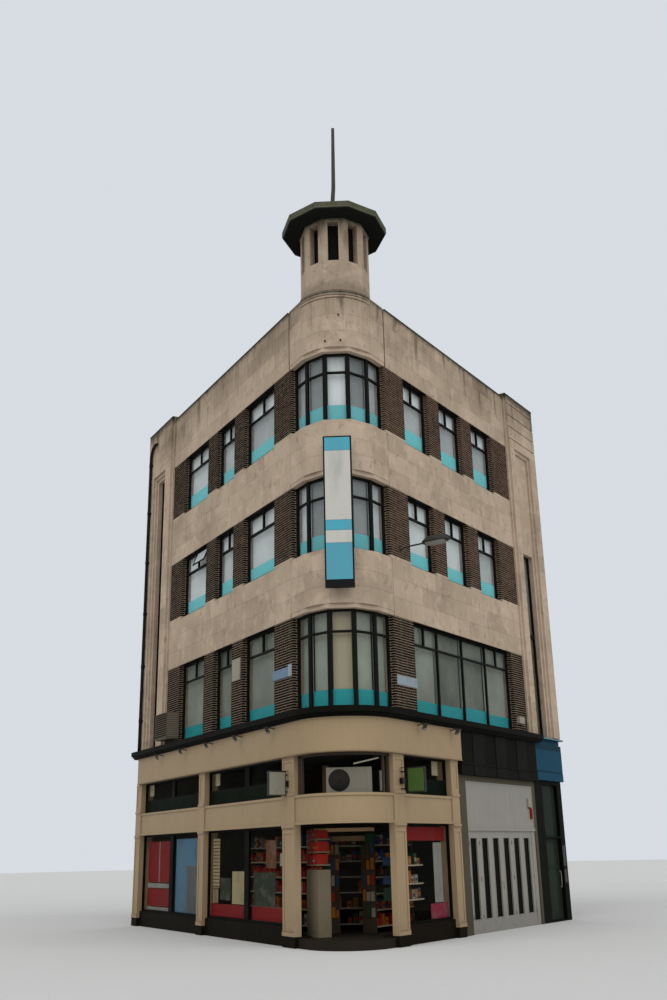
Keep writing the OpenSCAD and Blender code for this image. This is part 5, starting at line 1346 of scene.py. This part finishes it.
    def lamps(self):
        """Floodlights with tapered hoods on bent arms under the ledge, and the lamp on
        its long arm. Its head is a ring carried outwards, whose width follows a sine
        to the power 0.6 and which is flatter below than above."""
        metal, lens = Batch(), Batch()
        where = metal.where
        places = [(LEFT, s) for s in np.linspace(3.05, where.bays[LEFT] - 0.18, 5)]
        for side, s in places + [(RIGHT, s) for s in self.RIGHT_LIGHTS]:
            u = where.u(side, s)
            metal.tube(smooth_path([[u, -0.150, 4.96], [u, -0.28, 4.985], [u, -0.40, 4.975]], 5), 0.013, 8)
            metal.rings([
                [[u - w, y, z], [u + w, y, z], [u + w, y + 0.03, z - 0.035], [u - w, y + 0.03, z - 0.035]][::-1]
                for y, z, w in self.HOOD[::-1]
            ])
            lens.box((u - 0.075, u + 0.075), (-0.375, -0.335), (4.855, 4.868))
        u, z = where.u(RIGHT, 2.82), 9.50
        metal.tube(smooth_path([[u, -0.02, z - 0.06], [u, -0.2, z - 0.01], [u, -0.78, z]]), 0.021)
        metal.box((u - 0.03, u + 0.03), (-0.012, 0.0), (z - 0.14, z + 0.06))
        t = np.linspace(0, 1, 17)[:, None]
        width = 0.02 + 0.20 * np.sin(math.pi * np.clip(t * 0.96 + 0.02, 0, 1)) ** 0.6
        across, upward, out = np.cos(circle(20)), np.sin(circle(20)), -0.68 - 0.78 * t
        tall = np.where(upward > 0, 0.75, 0.30)
        metal.rings(xyz(u + width * across, out, z - 0.01 + width * upward * tall))
        flat = 0.82 * width[3:15]
        lens.rings(xyz(u + flat * across, out[3:15], z - 0.045 + flat * upward * 0.25))
        grey = paint("lamp_grey", (0.045, 0.044, 0.038), 0.45, 0.4)
        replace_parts(metal.piece("lamp_bodies", grey, "lamp_metal"), "wall_lamps")
        lens.piece("lamp_lenses", glass("lens_glass", (0.30, 0.30, 0.26), 0.9), "lamp_metal")

    def pipe(self):
        """The rainwater pipe with its swan neck, sockets and ears. It follows one smooth
        path down the bay and turns into the wall at the top."""
        batch = Batch()
        u, near = (batch.where.u(LEFT, s) for s in (self.PIPE, self.PIPE_TURN))
        y = self.PIPE_OUT
        path = [[u, y, z] for z in (5.262, 9.0, 13.0, 15.30)]
        path += [[u + 0.02, y, 15.62], [u + 0.16, y, 15.84], [near - 0.06, y, 15.93]]
        path += [[near, y + 0.05, 15.95], [near, -0.118, 15.95]]
        batch.tube(smooth_path(path), self.PIPE_RADIUS, 16)
        for z in self.EARS:
            batch.tube([[u, y, z], [u, y, z + 0.11]], 0.060, 16)
            batch.box((u - 0.085, u + 0.085), (-0.138, -0.1185), (z + 0.03, z + 0.08))
        iron = paint("pipe_black", (0.014, 0.014, 0.014), 0.4, 0.4)
        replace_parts(batch.piece("swan_neck_pipe", iron, "pipe_metal", smooth=True), "rainwater_pipe")

    def vent(self):
        """The vent box: sheet metal sides with sloping louvre blades between them. The sides are painted darker and a
        near-black core fills the box behind the blades: painted shade.
        """
        batch, core = Batch(), Batch()
        wide, z0, z1, out, sheet = self.VENT
        end = batch.where.bays[LEFT] - 0.05
        a, b = batch.where.span(LEFT, end - wide, end)
        inside = (z0 + sheet, z1 - sheet)
        batch.box((a, b), (out, -0.0005), (inside[1], z1))
        batch.box((a, b), (out, -0.0005), (z0, inside[0]))
        for u in ((a, a + sheet), (b - sheet, b)):
            # The side sheets take the lowest tint, painted darker: painted shade
            batch.box(u, (out, -0.0005), inside, 0.0)
        # A near-black box behind the blades: painted shade inside the vent
        core.box((a + sheet, b - sheet), (out + 0.09, -0.0005), inside)
        for z in np.linspace(z0 + 0.05, z1 - 0.10, 11):
            blade = [(out + 0.075, z + 0.045), (out + 0.004, z), (out + 0.004, z + 0.006), (out + 0.075, z + 0.051)]
            batch.strip((a + sheet, b - sheet), blade, 1.0)
            for u in (a - 0.004, b - 0.001):
                batch.box((u, u + 0.005), (out + 0.02, -0.02), (z + 0.012, z + 0.045), 1.0)
        brown = paint("vent_brown", (0.20, 0.165, 0.122), 0.6, 0.6, (0.10, 0.085, 0.065), tinted=True)
        core.piece("vent_core", paint("vent_painted_shade", (0.008, 0.007, 0.006)), "vent_metal")
        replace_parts(batch.piece("louvred_vent", brown, "vent_metal"), "vent_box")

    def cooling(self):
        """The cooling unit: a round fan grille of rings and bars on its case, and the
        thin lamp tube beside it."""
        low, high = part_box("cooling_unit")
        grille, lamp = Batch(), Batch()
        centre = np.array([low.x + 0.30, low.y - 0.012, (low.z + high.z) / 2])
        turn = circle(28)
        ring = xyz(np.cos(turn), 0, np.sin(turn))
        for r in (0.06, 0.12, 0.18, 0.24):
            grille.tube(centre + r * ring, 0.006, 6, closed=True)
        for a in np.linspace(0, math.pi, 5)[:-1]:
            reach = np.array([math.cos(a), 0, math.sin(a)]) * 0.24
            grille.tube([centre - reach, centre + reach], 0.005, 6)
        grille.rings([centre + 0.25 * ring + [0, y, 0] for y in (0.008, 0.011)], 0.0)
        lamp.tube([[0.20, -0.86, 3.98], [0.78, -0.62, 4.12]], 0.018, 10)
        refinish(paint("unit_grey", (0.19, 0.176, 0.142), 0.5, 0.35), "cooling_unit")
        dark = paint("grille_dark", (0.030, 0.029, 0.026), 0.5, 0.3)
        grille.piece("fan_grille", dark, "unit_plastic", smooth=True, bent=False)
        lit = paint("lamp_tube", (0.50, 0.46, 0.36), 0.3, 0.1)
        lamp.piece("tube_lamp", lit, "unit_plastic", smooth=True, bent=False)

    def top_frame(self):
        """The brown frame of the corner's top light and the panels that stand behind it."""
        batch, panel, box = Batch(), Batch(), Batch()
        u0, u1 = batch.where.u(LEFT, 2.158), batch.where.u(RIGHT, 1.938)
        for u in ((u0, u0 + 0.09), (u0 + 0.13, u0 + 0.20), (u1 - 0.07, u1), (u1 - 0.26, u1 - 0.21)):
            batch.box(u, (0.02, 0.075), (3.34, 4.230))
        batch.strip((u0, u1), [(0.075, 4.17), (0.075, 4.234), (0.02, 4.234), (0.02, 4.17)])
        panel.box((u0 + 0.24, u0 + 0.60), (0.55, 0.57), (3.34, 4.00), 0.6)
        panel.box((u1 - 0.70, u1 - 0.30), (0.60, 0.62), (3.34, 3.80), 0.2)
        box.stone((u1 - 0.19, u1 - 0.02), (3.38, 3.84), 0.12, 0.03, 0.18, 0.5)
        box.piece("top_light_box", paint("box_white", (0.30, 0.29, 0.26)), "unit_plastic")
        batch.piece("top_light_frame", paint("frame_brown", (0.055, 0.043, 0.031), 0.5, 0.4), "shop_frame")
        panel.piece("top_light_boards", paint("board_brown", (0.085, 0.050, 0.026), 0.6, 0.4), "poster_board")


# Stage


class Stage(bpy.types.Operator):
    """Sets the pale floor, the soft light and the camera at the photograph's place"""

    bl_idname = "shop_building.stage"
    bl_label = "Floor, light and camera"

    # The camera: its place, focal length, film height and farthest sight
    CAMERA, LENS, FILM, FAR = (0.830, -25.249, 2.04), 36.70, 36.0, 500.0
    HEADING, PITCH, ROLL = (math.radians(angle) for angle in (2.2724, 19.062, -1.193))
    FLOOR_RADIUS, FLOOR_LEVEL = 150, -0.002
    # Soft suns: strength, width in degrees and turn in degrees
    SUNS = {"soft_key": (0.92, 45, (50, 0, -36)), "soft_fill": (1.08, 60, (54, 0, 44))}

    def execute(self, context):
        scene = context.scene
        scene.view_settings.view_transform = "Standard"
        self.floor(scene)
        self.world(scene)
        for name, (energy, angle, turn) in self.SUNS.items():
            lamp = bpy.data.lights.new(name, "SUN")
            lamp.energy, lamp.angle = energy, math.radians(angle)
            holder = bpy.data.objects.new(name, lamp)
            holder.rotation_euler = [math.radians(v) for v in turn]
            scene.collection.objects.link(holder)
        self.camera(scene)
        return {"FINISHED"}

    def floor(self, scene):
        """A wide pale disc, one ring of points round its middle."""
        turn, radius = circle(96), self.FLOOR_RADIUS
        points = xyz(radius * np.cos(turn), radius * np.sin(turn), self.FLOOR_LEVEL)
        mesh = bpy.data.meshes.new("pale_floor")
        mesh.from_pydata(points.tolist(), [], [list(range(96))])
        mesh.materials.append(plaster("floor_pale", (0.62, 0.62, 0.61), 3.0, 0.9, 0.02))
        floor = bpy.data.objects.new("pale_floor", mesh)
        scene.collection.objects.link(floor)

    def world(self, scene):
        """A pale sky: what the camera and clear reflections see is brighter than the
        light it gives."""
        scene.world = bpy.data.worlds.new("pale_sky")
        sky = Nodes(scene.world)
        light = sky.node("ShaderNodeBackground", {}, (0.90, 0.92, 0.93), 0.60)
        seen = sky.node("ShaderNodeBackground", {}, (0.68, 0.72, 0.77), 1.0)
        rays = ("Is Camera Ray", "Is Glossy Ray", "Is Transmission Ray")
        direct, glossy, through = (sky.node("ShaderNodeLightPath", {}, out=ray) for ray in rays)
        clear = direct.maths("MAXIMUM", direct.maths("MAXIMUM", direct, glossy), through)
        shown = sky.node("ShaderNodeMixShader", {}, clear, light, seen)
        sky.feed(sky.tree.nodes["World Output"].inputs[0], shown)

    def camera(self, scene):
        """The camera looks along its heading, tilted up by its pitch and turned about
        its own axis by its roll."""
        right = Vector((math.cos(self.HEADING), math.sin(self.HEADING), 0))
        forward = Vector((-right.y, right.x, 0))
        look = forward * math.cos(self.PITCH) + Vector((0, 0, math.sin(self.PITCH)))
        up, cosine, sine = right.cross(look), math.cos(self.ROLL), math.sin(self.ROLL)
        data = bpy.data.cameras.new("street_camera")
        data.sensor_fit, data.sensor_height, data.sensor_width = "VERTICAL", self.FILM, self.FILM
        data.lens, data.clip_end = self.LENS, self.FAR
        scene.camera = bpy.data.objects.new("street_camera", data)
        turn = Matrix((right * cosine + up * sine, up * cosine - right * sine, -look)).transposed().to_4x4()
        scene.camera.matrix_world = Matrix.Translation(self.CAMERA) @ turn
        scene.collection.objects.link(scene.camera)


class BuildingPanel(bpy.types.Panel):
    """Lists the building's pieces in the sidebar"""

    bl_idname = "VIEW3D_PT_shop_building"
    bl_label = "Corner Shop Building"
    bl_space_type = "VIEW_3D"
    bl_region_type = "UI"
    bl_category = "Building"

    def draw(self, context):
        for step in STEPS:
            self.layout.operator(step.bl_idname)
        for name, group in SETTINGS.items():
            box = self.layout.box()
            for field in group.__annotations__:
                box.prop(getattr(context.scene, name), field)


SETTINGS = {
    "shop_plan": PlanSettings,
    "shop_brick": BrickSettings,
    "shop_stone": StoneSettings,
    "shop_glazing": GlazingSettings,
    "shop_front": ShopSettings,
}
STEPS = (BrickFacing, StoneFacing, Lantern, Windows, Shopfront, Interior, SecondUnit, Fittings, Stage)


def register():
    for cls in (*SETTINGS.values(), *STEPS, BuildingPanel):
        bpy.utils.register_class(cls)
    for name, group in SETTINGS.items():
        setattr(bpy.types.Scene, name, PointerProperty(type=group))


def unregister():
    for name in SETTINGS:
        delattr(bpy.types.Scene, name)
    for cls in reversed((*SETTINGS.values(), *STEPS, BuildingPanel)):
        bpy.utils.unregister_class(cls)


def main():
    register()
    for step in STEPS:
        group, name = step.bl_idname.split(".")
        getattr(getattr(bpy.ops, group), name)()
    bpy.context.view_layer.update()


if __name__ == "__main__":
    main()
